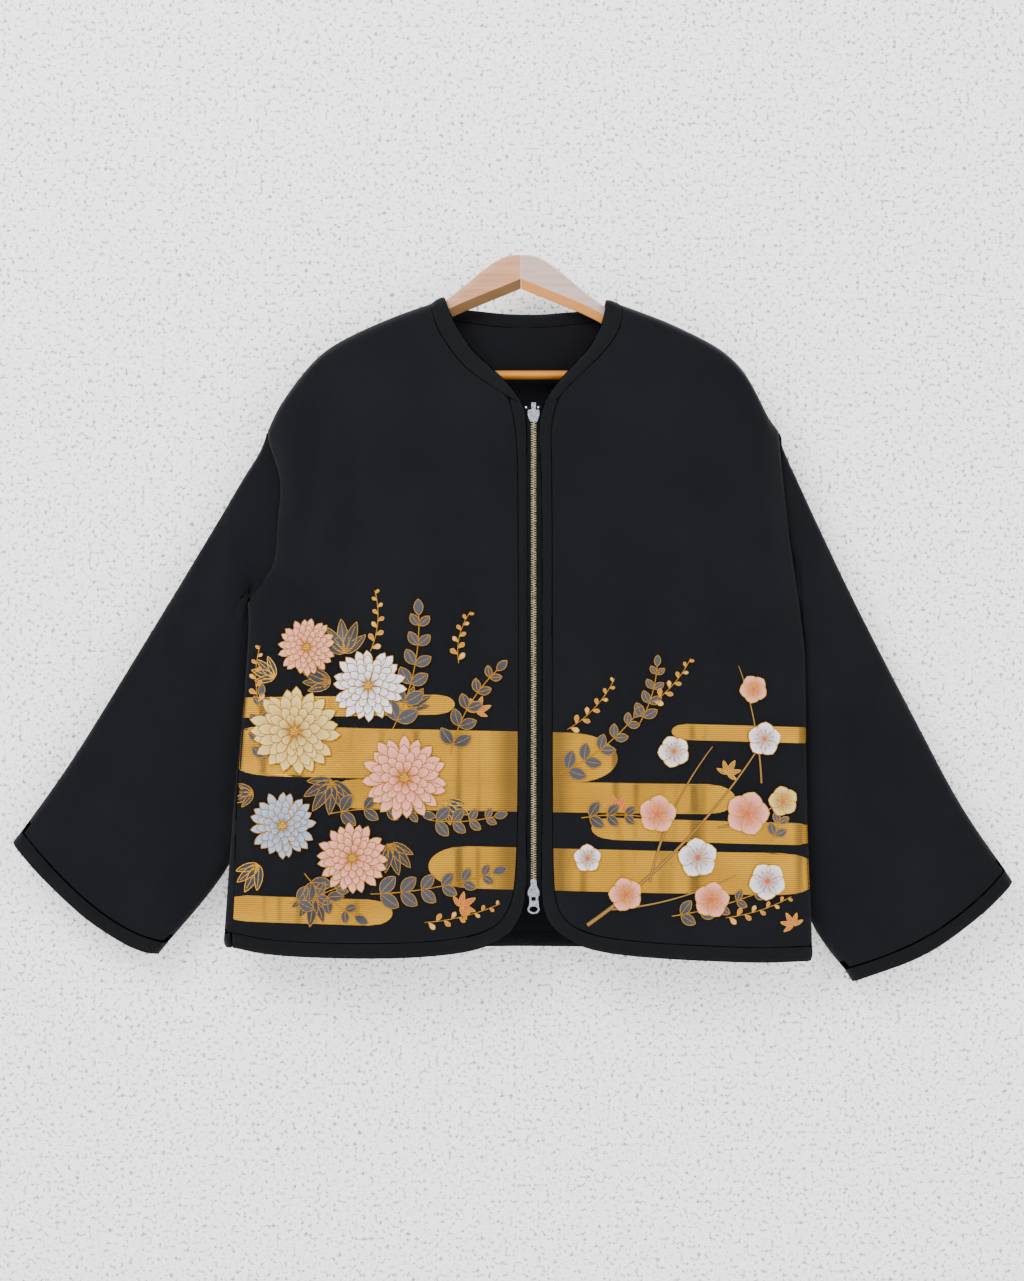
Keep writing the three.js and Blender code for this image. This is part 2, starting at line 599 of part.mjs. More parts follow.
// The band down one front edge, round its corner and along the front hem to the side.
function edgeBand(side, grids, neckEnd) {
  const seam = [];
  for (let i = NECK_ROW; i <= LAST_ROW; i += 1) seam.push(middle(grids.front, i, FRONT_LAST));
  for (let j = FRONT_LAST - 1; j >= 0; j -= 1) seam.push(middle(grids.front, LAST_ROW, j));
  const towardsZip = -side.rows.sign;
  const rowsDown = LAST_ROW - NECK_ROW;
  const edge = seam.map((here, i) => {
    const before = seam[Math.max(0, i - 1)];
    const after = seam[Math.min(seam.length - 1, i + 1)];
    const along = after.clone().sub(before).setY(0).normalize();
    const outward = point(along.z * -towardsZip, 0, along.x * towardsZip);
    if (i > rowsDown + 4) outward.set(0, 0, -1);
    const atTop = 1 - smooth(-here.z, 150, 215);
    const width = lerp(side.rows.frontBand, HEM_BAND, Math.max(smooth(-here.z, 610, 660), 0.8 * atTop));
    if (-here.z < 600) outward.set(towardsZip, 0, 0);
    return here.clone().addScaledVector(outward, width);
  });
  seam[0].z -= SEAM_GAP;
  edge[0].copy(neckEnd).z -= SEAM_GAP;
  drawnBack(seam, seam.length - 1, seam.length - 2);
  drawnBack(edge, edge.length - 1, edge.length - 2);
  return band(seam, edge);
}

function backHemBand(right, left) {
  const seam = right.outer[LAST_ROW].map((_, j) => middle(right, LAST_ROW, j));
  const other = left.outer[LAST_ROW].map((_, j) => middle(left, LAST_ROW, j)).reverse().slice(1);
  const whole = [...seam, ...other];
  drawnBack(whole, 0, 1);
  drawnBack(whole, whole.length - 1, whole.length - 2);
  return band(whole, whole.map((here) => here.clone().setZ(here.z - HEM_BAND)));
}

// The height of the cloth's middle along a front edge, read by its height on the jacket.
function edgeDepth(grids) {
  const points = [];
  for (let i = NECK_ROW; i <= LAST_ROW; i += 1) points.push(middle(grids.front, i, FRONT_LAST));
  return (z) => {
    const index = clamp(points.findIndex((here) => here.z <= z), 1, points.length - 1);
    const [above, below] = [points[index - 1], points[index]];
    return lerp(above.y, below.y, clamp((above.z - z) / (above.z - below.z), 0, 1));
  };
}

// One zip tape with the bead that its teeth close on. Columns: distance from the zip's middle, depth.
const TAPE_TOP = -153.5;
const TAPE_BOTTOM = -644;
const BEAD_INNER = 0.9;
const BEAD_OUTER = 3.2;
const TAPE_OUTER = 15.5;

function zipTape(sign, zipDepth) {
  const [thin, thick] = [TAPE_THICKNESS / 2, TEETH_THICKNESS / 2];
  const section = [
    [TAPE_OUTER, thin], [BEAD_OUTER, thin], [BEAD_OUTER, thick], [BEAD_INNER, thick],
    [BEAD_INNER, -thick], [BEAD_OUTER, -thick], [BEAD_OUTER, -thin], [TAPE_OUTER, -thin],
  ];
  const steps = 10;
  const rings = [];
  for (let i = 0; i <= steps; i += 1) {
    const z = lerp(TAPE_TOP, TAPE_BOTTOM, i / steps);
    rings.push(section.map(([out, deep]) => point(ZIP_CENTRE + sign * out, zipDepth(z) + deep, z)));
  }
  return loft(rings, section);
}

const library = await Module();
library.setup();
const { Manifold, Mesh } = library;

function toManifold(geometry) {
  const bare = geometry.clone();
  bare.deleteAttribute("normal");
  bare.deleteAttribute("uv");
  const merged = mergeVertices(bare, 1e-4);
  const triVerts = new Uint32Array(merged.index.array);
  return new Manifold(new Mesh({ numProp: 3, vertProperties: merged.attributes.position.array, triVerts }));
}

function fromManifold(manifold) {
  const { vertProperties, triVerts, numProp } = manifold.getMesh();
  const geometry = new THREE.BufferGeometry();
  const positions = new Float32Array((vertProperties.length / numProp) * 3);
  for (let i = 0; i < positions.length / 3; i += 1) {
    positions.set(vertProperties.subarray(i * numProp, i * numProp + 3), i * 3);
  }
  geometry.setAttribute("position", new THREE.BufferAttribute(positions, 3));
  geometry.setIndex([...triVerts]);
  geometry.computeVertexNormals();
  return geometry;
}

const block = (wide, deep, high, x, y, z) => new THREE.BoxGeometry(wide, deep, high).translate(x, y, z);
const union = (geometries) =>
  fromManifold(geometries.map(toManifold).reduce((whole, next) => whole.add(next)));

// A slider's two plates and the post between them, wide end up, its middle at the origin.
const SLIDER_LENGTH = 11.5;
const SLIDER_WIDTH = 11.5;
const SLIDER_TAIL = 7.4;
const LOW_TAIL = 5.8; // the bottom slider's tail is narrower and longer
const LOW_TAIL_DROP = 5.4;
const PLATE_INNER = 1.6;
const PLATE_OUTER = 2.9;
const POST_WIDTH = 1.1;

function sliderPlates(tailWidth, tailDrop) {
  const [wide, tail, half] = [SLIDER_WIDTH / 2, tailWidth / 2, SLIDER_LENGTH / 2];
  const end = -half - tailDrop;
  const sides = [
    [wide - 1, half], [wide, half - 1], [wide, 0.5], [tail + 0.9, -3.2], [tail, -half],
    [tail, end + 0.8], [tail - 0.8, end],
  ];
  const left = sides.map(([x, y]) => new THREE.Vector2(-x, y));
  const right = sides.map(([x, y]) => new THREE.Vector2(x, y)).reverse();
  const outline = new THREE.Shape([...left, ...right]);
  const shape = { depth: PLATE_OUTER - PLATE_INNER, bevelEnabled: false };
  const plate = () => new THREE.ExtrudeGeometry(outline, shape).rotateX(Math.PI / 2);
  return [
    plate().translate(0, -PLATE_INNER, 0),
    plate().translate(0, PLATE_OUTER, 0),
    block(POST_WIDTH, 2 * PLATE_INNER + 1, 4, 0, 0, half - 2),
  ];
}

// The bridge that holds a pull tab: legs and strip, columns as they lie on the plate at -Y.
const BRIDGE_WIDTH = 3.4;
const BRIDGE_CLEAR = 2.6;
const BRIDGE_THICKNESS = 1.2;
const TAB_DEPTH = PLATE_OUTER + BRIDGE_CLEAR / 2;

function bridge(low, high, facing) {
  const reach = BRIDGE_CLEAR + BRIDGE_THICKNESS;
  const sunk = 0.2; // into the plate, so that the two join
  const legDepth = facing * (PLATE_OUTER + reach / 2 - sunk);
  const leg = (z) => block(BRIDGE_WIDTH, reach + 2 * sunk, BRIDGE_THICKNESS, 0, legDepth, z);
  const strip = block(
    BRIDGE_WIDTH, BRIDGE_THICKNESS, high - low, 0,
    facing * (PLATE_OUTER + BRIDGE_CLEAR + BRIDGE_THICKNESS / 2), (low + high) / 2,
  );
  return [leg(low + BRIDGE_THICKNESS / 2), leg(high - BRIDGE_THICKNESS / 2), strip];
}

// A pull tab hanging from its pivot at the origin: a neck with a slot, then an oval ring.
const TAB_THICKNESS = 1.4;
const TAB_BAR = 0.8;
const TAB_SLOT = 4.4;
const TAB_SLOT_END = 7;
const TAB_NECK = 8.4;
const TAB_RING_DROP = 15.4;
const TAB_SHOULDER = 11; // where the neck opens into the ring
const [RING_WIDE, RING_HIGH] = [6, 4.6]; // half sizes of the ring
const [EYE_WIDE, EYE_HIGH] = [4.3, 3]; // and of its eye

function pullTab() {
  const outline = new THREE.Shape();
  const half = TAB_NECK / 2;
  outline.moveTo(-half, TAB_BAR);
  outline.lineTo(-half, -TAB_SHOULDER);
  outline.absellipse(0, -TAB_RING_DROP, RING_WIDE, RING_HIGH, (5 * Math.PI) / 6, Math.PI / 6, false, 0);
  outline.lineTo(half, TAB_BAR);
  outline.closePath();
  const slot = new THREE.Path();
  slot.moveTo(-TAB_SLOT / 2, -TAB_BAR);
  slot.lineTo(TAB_SLOT / 2, -TAB_BAR);
  slot.lineTo(TAB_SLOT / 2, -TAB_SLOT_END);
  slot.lineTo(-TAB_SLOT / 2, -TAB_SLOT_END);
  slot.closePath();
  const eye = new THREE.Path().absellipse(0, -TAB_RING_DROP, EYE_WIDE, EYE_HIGH, 0, 2 * Math.PI, true, 0);
  outline.holes.push(slot, eye);
  const shape = { depth: TAB_THICKNESS, bevelEnabled: false, curveSegments: 14 };
  return new THREE.ExtrudeGeometry(outline, shape).rotateX(Math.PI / 2).translate(0, TAB_THICKNESS / 2, 0);
}

// A hanger arm: sections along its length, round on top and eased below, with the bar's blind bore.
const ARM_SECTION = [
  [-1, -7, "top"], [-0.72, -2.2, "top"], [0, 0, "top"], [0.72, -2.2, "top"], [1, -7, "top"],
  [1, 9, "bottom"], [0.35, 0, "bottom"], [-0.35, 0, "bottom"], [-1, 9, "bottom"],
];
const BAR_END = 197.7;
const BORE_LENGTH = 44;
const ARM_STEPS = 28;

function hangerArm(sign) {
  const half = HANGER_THICKNESS / 2;
  const tops = new THREE.SplineCurve(HANGER_ARM.map(([out, top]) => new THREE.Vector2(out, top)));
  const bottoms = new THREE.SplineCurve(HANGER_ARM.map(([out, , low]) => new THREE.Vector2(out, low)));
  const rings = Array.from({ length: ARM_STEPS + 1 }, (_, step) => {
    const [above, below] = [tops.getPoint(step / ARM_STEPS), bottoms.getPoint(step / ARM_STEPS)];
    const x = sign * Math.max(above.x, SEAM_GAP / 2);
    return ARM_SECTION.map(([side, up, from]) => point(x, side * half, (from === "top" ? above : below).y + up));
  });
  const [, first, last] = HANGER_ARM[0];
  const section = ARM_SECTION.map(([side, up, from]) => [side * half, (from === "top" ? first : last) + up]);
  const bore = new THREE.CylinderGeometry(BAR_RADIUS + SEAM_GAP, BAR_RADIUS + SEAM_GAP, BORE_LENGTH, 20)
    .rotateZ(Math.PI / 2)
    .translate(sign * (BAR_END + SEAM_GAP - BORE_LENGTH / 2), 0, BAR_HEIGHT);
  return fromManifold(toManifold(loft(rings, section)).subtract(toManifold(bore)));
}

function buildBody() {
  const sides = { right: bodySide(SIDES.right), left: bodySide(SIDES.left) };
  const grids = {};
  for (const [name, side] of Object.entries(sides)) {
    grids[name] = { front: frontPanel(side), back: backPanel(side) };
    place(`front_${name}`, wall(grids[name].front.outer, grids[name].front.inner, false), CLOTH_FINISH);
    place(`back_${name}`, wall(grids[name].back.outer, grids[name].back.inner, false), CLOTH_FINISH);
  }
  const necks = { right: neckHalf(sides.right, grids.right), left: neckHalf(sides.left, grids.left) };
  place("neck_band", neckBand(necks.right, necks.left), BAND_FINISH);
  for (const name of ["right", "left"]) {
    place(`edge_band_${name}`, edgeBand(sides[name], grids[name], necks[name].edge[0]), BAND_FINISH);
  }
  place("hem_band_back", backHemBand(grids.right.back, grids.left.back), BAND_FINISH);
  return grids;
}

function buildSleeves() {
  for (const [name, rows] of Object.entries(SIDES)) {
    const sleeve = sleeveSurface(rows);
    place(`sleeve_${name}`, tubeWall(SLEEVE_RINGS.map((s) => sleeveRing(sleeve, s)), CLOTH), CLOTH_FINISH);
    place(`cuff_${name}`, tubeWall(cuffRings(sleeve), CLOTH + 0.6), BAND_FINISH);
  }
}

// The zip's metal pieces: heights on the jacket, and the top stops' places across it.
const TOP_SLIDER_HEIGHT = -163.4;
const LOW_SLIDER_HEIGHT = -636.5;
const STOP_HEIGHT = -155.4;
const STOP_RADIUS = 1.5;
const STOP_PLACES = { right: 5, left: 17.2 };
const SPINE_WIDTH = 4.5; // the strip up the front of the top slider
const SPINE_HEIGHT = 14.4;

function buildZip(grids) {
  const depths = [edgeDepth(grids.right), edgeDepth(grids.left)];
  const behind = BAND_SWELL + SEAM_GAP + TAPE_THICKNESS / 2;
  const zipDepth = (z) => Math.max(depths[0](z), depths[1](z)) + behind;
  place("zip_tape_right", zipTape(-1, zipDepth), TAPE_FINISH);
  place("zip_tape_left", zipTape(1, zipDepth), TAPE_FINISH);
  const stopDepth = zipDepth(STOP_HEIGHT) - TAPE_THICKNESS / 2 - SEAM_GAP - STOP_RADIUS;
  for (const [name, x] of Object.entries(STOP_PLACES)) {
    const ball = new THREE.SphereGeometry(STOP_RADIUS, 10, 6).translate(x, stopDepth, STOP_HEIGHT);
    place(`top_stop_${name}`, ball, METAL_FINISH);
  }

  // The top slider's tab hangs inside, so its bridge is behind, joined over the top to the strip in front.
  const topZ = TOP_SLIDER_HEIGHT;
  const rail = [
    block(SPINE_WIDTH, BRIDGE_THICKNESS, SPINE_HEIGHT, 0, -PLATE_OUTER - 0.5, 5.6),
    block(BRIDGE_WIDTH, 2 * TAB_DEPTH + 5, 1.3, 0, 0.9, 12.1),
    ...bridge(-3, 12.7, 1),
  ];
  const top = union([...sliderPlates(SLIDER_TAIL, 0.3), ...rail]).translate(ZIP_CENTRE, zipDepth(topZ), topZ);
  place("slider_top", top, METAL_FINISH);
  const topPivot = [ZIP_CENTRE, zipDepth(topZ) + TAB_DEPTH, topZ - 0.2];
  place("pull_tab_top", pullTab().translate(...topPivot), METAL_FINISH);

  const lowZ = LOW_SLIDER_HEIGHT;
  const plates = sliderPlates(LOW_TAIL, LOW_TAIL_DROP).map((piece) => piece.rotateY(Math.PI));
  const low = union([...plates, ...bridge(-6, 4, -1)]);
  place("slider_bottom", low.translate(ZIP_CENTRE, zipDepth(lowZ), lowZ), METAL_FINISH);
  const lowPivot = [ZIP_CENTRE, zipDepth(lowZ) - TAB_DEPTH, lowZ - 3];
  place("pull_tab_bottom", pullTab().translate(...lowPivot), METAL_FINISH);
}

function buildHanger() {
  place("hanger_arm_right", hangerArm(-1), WOOD_FINISH);
  place("hanger_arm_left", hangerArm(1), WOOD_FINISH);
  const bar = new THREE.CylinderGeometry(BAR_RADIUS, BAR_RADIUS, 2 * BAR_END, 20);
  place("hanger_bar", bar.rotateZ(Math.PI / 2).translate(0, 0, BAR_HEIGHT), WOOD_FINISH);
}

const bodyGrids = buildBody();
buildSleeves();
buildZip(bodyGrids);
buildHanger();

export default jacket;
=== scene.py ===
import math
import random

import bmesh
import bpy
import numpy as np
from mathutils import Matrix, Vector, noise
from mathutils.bvhtree import BVHTree
from mathutils.kdtree import KDTree


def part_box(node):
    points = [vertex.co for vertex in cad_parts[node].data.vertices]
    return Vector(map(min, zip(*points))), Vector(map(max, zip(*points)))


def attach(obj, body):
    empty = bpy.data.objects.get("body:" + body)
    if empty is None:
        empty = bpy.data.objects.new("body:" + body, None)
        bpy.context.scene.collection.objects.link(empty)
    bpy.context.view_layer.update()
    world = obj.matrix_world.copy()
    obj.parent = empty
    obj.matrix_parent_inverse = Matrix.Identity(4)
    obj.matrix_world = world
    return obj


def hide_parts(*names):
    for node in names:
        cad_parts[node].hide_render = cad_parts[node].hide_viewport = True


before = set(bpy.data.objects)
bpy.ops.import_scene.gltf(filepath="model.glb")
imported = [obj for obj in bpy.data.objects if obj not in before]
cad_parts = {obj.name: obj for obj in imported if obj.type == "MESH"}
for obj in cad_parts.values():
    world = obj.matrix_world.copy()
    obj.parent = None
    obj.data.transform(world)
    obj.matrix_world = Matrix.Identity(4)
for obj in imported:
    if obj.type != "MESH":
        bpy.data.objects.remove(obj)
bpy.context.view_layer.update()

MM = 0.001


# The view: straight on to the hung jacket, as the picture was taken.
# One millimetre of the garment is one pixel of the 1024 by 1281 frame, whose centre lies below the neck.
FRAME_HEIGHT = 1.281
VIEW_DISTANCE = 2.9
FRAME_CENTRE = (-0.009, -0.3875)
FACE_DEPTH = -0.012  # the plane that is shown at its true scale

bpy.ops.object.select_all(action="DESELECT")
camera_data = bpy.data.cameras.new("camera")
camera_data.sensor_width = 36
camera_data.lens = camera_data.sensor_width * VIEW_DISTANCE / FRAME_HEIGHT
camera = bpy.data.objects.new("camera", camera_data)
camera.location = (FRAME_CENTRE[0], FACE_DEPTH - VIEW_DISTANCE, FRAME_CENTRE[1])
camera.rotation_euler = (math.radians(90), 0, 0)
bpy.context.scene.collection.objects.link(camera)
bpy.context.scene.camera = camera


# Studio: a pale plastered wall close behind the garment, a pale floor well below it and large soft lights.
# The wall lets light through from behind, so that the garment's back can be seen and lit too.
WALL_DEPTH = 0.047
WALL_SIZE = 7.0
FLOOR_HEIGHT = -1.25
FLOOR_SIZE = 12.0
GARMENT_MIDDLE = -0.4


def linear(code):
    """The linear colour of an sRGB hex code such as #1c1e24."""
    parts = [int(code[i : i + 2], 16) / 255 for i in (1, 3, 5)]
    return tuple(p / 12.92 if p <= 0.04045 else ((p + 0.055) / 1.055) ** 2.4 for p in parts)


def colour(code):
    return (*linear(code), 1.0)


def add(tree, kind, links=(), **settings):
    """Adds a node. Settings set its properties or its inputs by name; links are (input, output socket)."""
    node = tree.nodes.new(kind)
    for name, value in settings.items():
        if hasattr(node, name):
            setattr(node, name, value)
        else:
            node.inputs[name.replace("_", " ")].default_value = value
    for name, socket in links:
        tree.links.new(socket, node.inputs[name])
    return node


def new_material(name):
    """An empty node material and its output."""
    material = bpy.data.materials.new(name)
    material.use_nodes = True
    material.node_tree.nodes.clear()
    return material, material.node_tree, material.node_tree.nodes.new("ShaderNodeOutputMaterial")


def flat_stage(name, centre, turn, size, material):
    """A large plane that isn't part of the garment."""
    bpy.ops.mesh.primitive_plane_add(size=size, location=centre, rotation=turn)
    plane = bpy.context.active_object
    plane.name = name
    plane.data.materials.append(material)
    plane.select_set(False)


def plaster():
    """Rolled white plaster: matt, with a grit of 3 to 6 mm whose small pits are painted darker as their
    shade.
    """
    material, tree, output = new_material("plaster")
    place = add(tree, "ShaderNodeTexCoord").outputs["Object"]
    grit = add(tree, "ShaderNodeTexNoise", [("Vector", place)], Scale=240.0, Detail=3.0, Roughness=0.6)
    relief = add(
        tree, "ShaderNodeBump", [("Height", grit.outputs["Fac"])], Strength=0.8, Distance=0.0022
    )
    # Painted shade: the low places of the grit are darkened in the colour.
    pits = add(tree, "ShaderNodeValToRGB", [("Fac", grit.outputs["Fac"])])
    pits.color_ramp.elements[0].position = 0.34
    pits.color_ramp.elements[0].color = colour("#8f8f8f")
    pits.color_ramp.elements[1].position = 0.47
    pits.color_ramp.elements[1].color = colour("#fafafa")
    surface = add(
        tree,
        "ShaderNodeBsdfPrincipled",
        [
            ("Base Color", pits.outputs[0]),
            ("Normal", relief.outputs["Normal"]),
            ("Emission Color", pits.outputs[0]),
        ],
        Roughness=0.95,
        Specular_IOR_Level=0.1,
        Emission_Strength=0.5,
    )
    clear = add(tree, "ShaderNodeBsdfTransparent")
    back = add(tree, "ShaderNodeNewGeometry").outputs["Backfacing"]
    shade = add(tree, "ShaderNodeLightPath").outputs["Is Shadow Ray"]
    open_way = add(tree, "ShaderNodeMath", operation="MAXIMUM")
    tree.links.new(back, open_way.inputs[0])
    tree.links.new(shade, open_way.inputs[1])
    mix = add(tree, "ShaderNodeMixShader", [("Fac", open_way.outputs[0])])
    tree.links.new(surface.outputs[0], mix.inputs[1])
    tree.links.new(clear.outputs[0], mix.inputs[2])
    tree.links.new(mix.outputs[0], output.inputs["Surface"])
    return material


def floor_paint():
    """Matt pale floor paint."""
    material, tree, output = new_material("floor_paint")
    surface = add(tree, "ShaderNodeBsdfPrincipled", Base_Color=colour("#dcdcda"), Roughness=0.8)
    tree.links.new(surface.outputs[0], output.inputs["Surface"])
    return material


upright = (math.radians(90), 0, 0)
flat_stage("wall", (0, WALL_DEPTH, GARMENT_MIDDLE), upright, WALL_SIZE, plaster())
flat_stage("floor", (0, 0, FLOOR_HEIGHT), (0, 0, 0), FLOOR_SIZE, floor_paint())


def softbox(name, place, target, size, power):
    """A square area light at place that points at target."""
    light_data = bpy.data.lights.new(name, "AREA")
    light_data.size = size
    light_data.energy = power
    light = bpy.data.objects.new(name, light_data)
    light.location = place
    aim = Vector(target) - Vector(place)
    light.rotation_euler = aim.to_track_quat("-Z", "Y").to_euler()
    bpy.context.scene.collection.objects.link(light)


softbox("key", (-1.4, -2.2, 1.5), (0, 0, -0.35), 1.5, 120)
softbox("fill", (1.9, -2.4, 0.1), (0, 0, GARMENT_MIDDLE), 2.0, 45)
softbox("behind", (0.8, 2.4, 0.9), (0, 0, GARMENT_MIDDLE), 1.6, 45)
world = bpy.data.worlds.new("studio")
world.use_nodes = True
world.node_tree.nodes["Background"].inputs["Color"].default_value = colour("#f2f4f8")
world.node_tree.nodes["Background"].inputs["Strength"].default_value = 1.3
bpy.context.scene.world = world


# Clothes hanger: two arms of pale beech, mitred at the top, with a round trouser bar let into their ends.
# The sawn and sanded wood is lacquered thinly, so it shows a soft sheen and a grain along each arm.
WOOD_EDGE = 1.1 * MM


def beech(name, light, dark, under, lean):
    """Sanded beech: satin, with grain lines a few millimetres apart along the piece.
    Where the eased underside faces down, it is painted in a darker, deeper colour as painted shade."""
    material, tree, output = new_material(name)
    place = add(tree, "ShaderNodeTexCoord").outputs["Object"]
    turned = add(
        tree, "ShaderNodeMapping", [("Vector", place)], Rotation=(0, lean, 0), Scale=(6.0, 60.0, 150.0)
    )
    grain = add(
        tree, "ShaderNodeTexNoise", [("Vector", turned.outputs[0])], Scale=1.6, Detail=6.0, Roughness=0.62
    )
    flecks = add(
        tree, "ShaderNodeTexNoise", [("Vector", turned.outputs[0])], Scale=9.0, Detail=2.0, Roughness=0.5
    )
    tint = add(tree, "ShaderNodeValToRGB", [("Fac", grain.outputs["Fac"])])
    tint.color_ramp.elements[0].position = 0.34
    tint.color_ramp.elements[0].color = colour(dark)
    tint.color_ramp.elements[1].position = 0.66
    tint.color_ramp.elements[1].color = colour(light)
    relief = add(
        tree, "ShaderNodeBump", [("Height", flecks.outputs["Fac"])], Strength=0.25, Distance=0.0004
    )
    # Painted shade: faces that look downwards take the darker underside colour.
    facing = add(tree, "ShaderNodeNewGeometry").outputs["True Normal"]
    upward = add(tree, "ShaderNodeSeparateXYZ", [("Vector", facing)]).outputs["Z"]
    below = add(tree, "ShaderNodeMapRange", [("Value", upward)])
    below.inputs["From Min"].default_value = -0.12
    below.inputs["From Max"].default_value = -0.3
    below.inputs["To Max"].default_value = 0.85
    grain_and_underside_shade = add(tree, "ShaderNodeMix", data_type="RGBA", blend_type="MIX")
    tree.links.new(below.outputs[0], grain_and_underside_shade.inputs["Factor"])
    tree.links.new(tint.outputs[0], grain_and_underside_shade.inputs[6])
    grain_and_underside_shade.inputs[7].default_value = colour(under)
    surface = add(
        tree,
        "ShaderNodeBsdfPrincipled",
        [("Base Color", grain_and_underside_shade.outputs[2]), ("Normal", relief.outputs["Normal"])],
        Roughness=0.5,
        Specular_IOR_Level=0.3,
    )
    tree.links.new(surface.outputs[0], output.inputs["Surface"])
    return material


def dress(node, material, edge=0.0, angle=35):
    """Gives a solid of the frame its finish, with its edges eased by a small bevel."""
    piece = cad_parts[node]
    piece.data.materials.clear()
    piece.data.materials.append(material)
    if edge:
        ease = piece.modifiers.new("eased_edges", "BEVEL")
        ease.width = edge
        ease.segments = 2
        ease.angle_limit = math.radians(angle)


# The third colour of each finish is the painted shade of its downward faces.
tan = beech("beech_tan", "#c2906c", "#a87450", "#543a08", 0.35)
pale = beech("beech_pale", "#bfa69d", "#ad9188", "#cc7e10", -0.35)
dress("hanger_arm_right", tan, WOOD_EDGE)
dress("hanger_arm_left", pale, WOOD_EDGE)
dress("hanger_bar", beech("beech_bar", "#c47e20", "#a8681a", "#9a5c0e", 0.0))


# Cloth: black crepe-backed plain weave over a thin wadding, which gives it soft, shallow folds.
# One field of folds moves every piece of the front and another every piece of the back, so seams stay closed.
ZIP_PLACE = 12.5  # mm, where the garment closes
ZIP_LEVEL = 22  # mm to each side of the zip that the folds leave level
ZIP_EASE = 50  # mm over which the folds then come in
CLOTH_SWELL = 1.3  # mm, the wadding's slow unevenness
SWELL_SIZE = (62, 88)  # mm, how wide and how tall one swell is
FOLD_BOW = 0.06  # how far a fold bends aside, as a share of its length
SEAM_FILL = 0.35  # mm, the loft of the cloth, which closes each seam
SEAM_TURN = 1.3 * MM  # the cloth's rounding where it is turned into a seam
SEAM_SHADE_SLOT = 1  # the second material of a cloth piece, the painted shade in its seams
SEAM_STEEP = 0.8  # the turn gets the painted shade where its normal looks less to the front or back than this
# How much, and over what length, the edge of the painted seam shade wanders.
SEAM_UNEVEN = 0.25
SEAM_WAVE = 14 * MM
NECK_CORNER = -77.0  # mm, the height of the centre-back seam's top
NECK_LIFT = 1.3 * MM
NECK_SPREAD = 8.0
NECK_POINT = (112, -62)  # mm, the x and height within which the neck's corners lie open to the light and get no painted shade
BODY_HALF = 300  # mm, the body's half width, with the sleeves past it
BODY_CENTRE = 5
LAYER_EASE = 14  # mm of depth over which the front layer's folds give way to the back one's

# Each row: from x, z to x, z, half width, depth (a trough goes in, a ridge, below nought, comes out), in mm.
FRONT_CREASES = [
    (-205, -112, -238, -330, 26, 4.2),
    (-176, -140, -196, -420, 22, 2.6),
    (-120, -90, -104, -330, 30, -1.8),
    (-262, -322, -160, -395, 17, 3.6),
    (-268, -345, -190, -470, 20, 2.8),
    (-70, -240, -64, -560, 26, 1.6),
    (-232, -420, -246, -640, 18, -2.0),
    (-150, -560, -170, -690, 24, 1.7),
    (212, -120, 238, -300, 26, 3.4),
    (160, -150, 182, -440, 24, 2.2),
    (268, -352, 176, -420, 18, 3.2),
    (282, -380, 210, -520, 20, 2.6),
    (92, -260, 84, -600, 26, 1.5),
    (236, -470, 246, -660, 18, -1.9),
    (150, -540, 160, -690, 24, 1.5),
    (-300, -210, -356, -420, 22, 3.4),
    (-345, -250, -440, -520, 24, 2.4),
    (-290, -370, -372, -560, 18, 3.0),
    (-276, -420, -330, -640, 16, -2.2),
    (-400, -470, -470, -610, 20, 2.0),
    (292, -240, 348, -470, 22, 3.2),
    (330, -250, 420, -520, 24, 2.2),
    (300, -430, 356, -620, 18, 2.8),
    (286, -500, 330, -690, 16, -2.0),
    (392, -500, 440, -660, 20, 1.8),
]
BACK_CREASES = [
    (-190, -110, -225, -360, 26, 3.8),
    (-110, -120, -130, -420, 30, 2.2),
    (-258, -350, -150, -430, 18, 3.4),
    (-60, -300, -70, -620, 24, 1.8),
    (-225, -450, -238, -660, 20, -2.0),
    (185, -115, 222, -350, 26, 3.6),
    (105, -140, 128, -460, 30, 2.2),
    (262, -360, 158, -440, 18, 3.2),
    (64, -280, 76, -600, 24, 1.8),
    (228, -450, 240, -650, 20, -1.8),
    (-310, -230, -372, -450, 22, 3.2),
    (-300, -380, -366, -590, 18, 2.8),
    (-400, -380, -450, -600, 22, 2.0),
    (305, -260, 362, -480, 22, 3.0),
    (306, -440, 352, -640, 18, 2.6),
    (400, -420, 436, -640, 22, 1.9),
]


def smooth_step(share):
    share = np.clip(share, 0, 1)
    return share * share * (3 - 2 * share)


def trough(points, row):
    """How far each x, z point lies in one fold: deepest on its line, with both ends fading out."""
    x0, z0, x1, z1, width, depth = row
    start = np.array([x0, z0], float)
    along = np.array([x1 - x0, z1 - z0], float)
    length = np.linalg.norm(along)
    offset = points - start
    run = offset @ along / length**2
    bow = FOLD_BOW * length * np.sin(math.pi * np.clip(run, 0, 1))
    across = (offset[:, 0] * along[1] - offset[:, 1] * along[0]) / length + bow
    ends = smooth_step((run + 0.12) / 0.4) * smooth_step((1.12 - run) / 0.45)
    return depth * np.exp(-((across / width) ** 2) * 2.2) * ends


def fold_depth(points, rows, seed):
    """The whole field of folds at each x, z point in mm, level beside the zip."""
    depth = sum(trough(points, row) for row in rows)
    wide, tall = SWELL_SIZE
    swell = [noise.noise(Vector((x / wide, z / tall, seed))) for x, z in points]
    depth = depth + CLOTH_SWELL * np.array(swell)
    return depth * smooth_step((np.abs(points[:, 0] - ZIP_PLACE) - ZIP_LEVEL) / ZIP_EASE)


def layer_middle(x):
    """The depth in mm that parts the front layer from the back one."""
    return np.where(np.abs(x - BODY_CENTRE) > BODY_HALF, 10.5, 4.0)


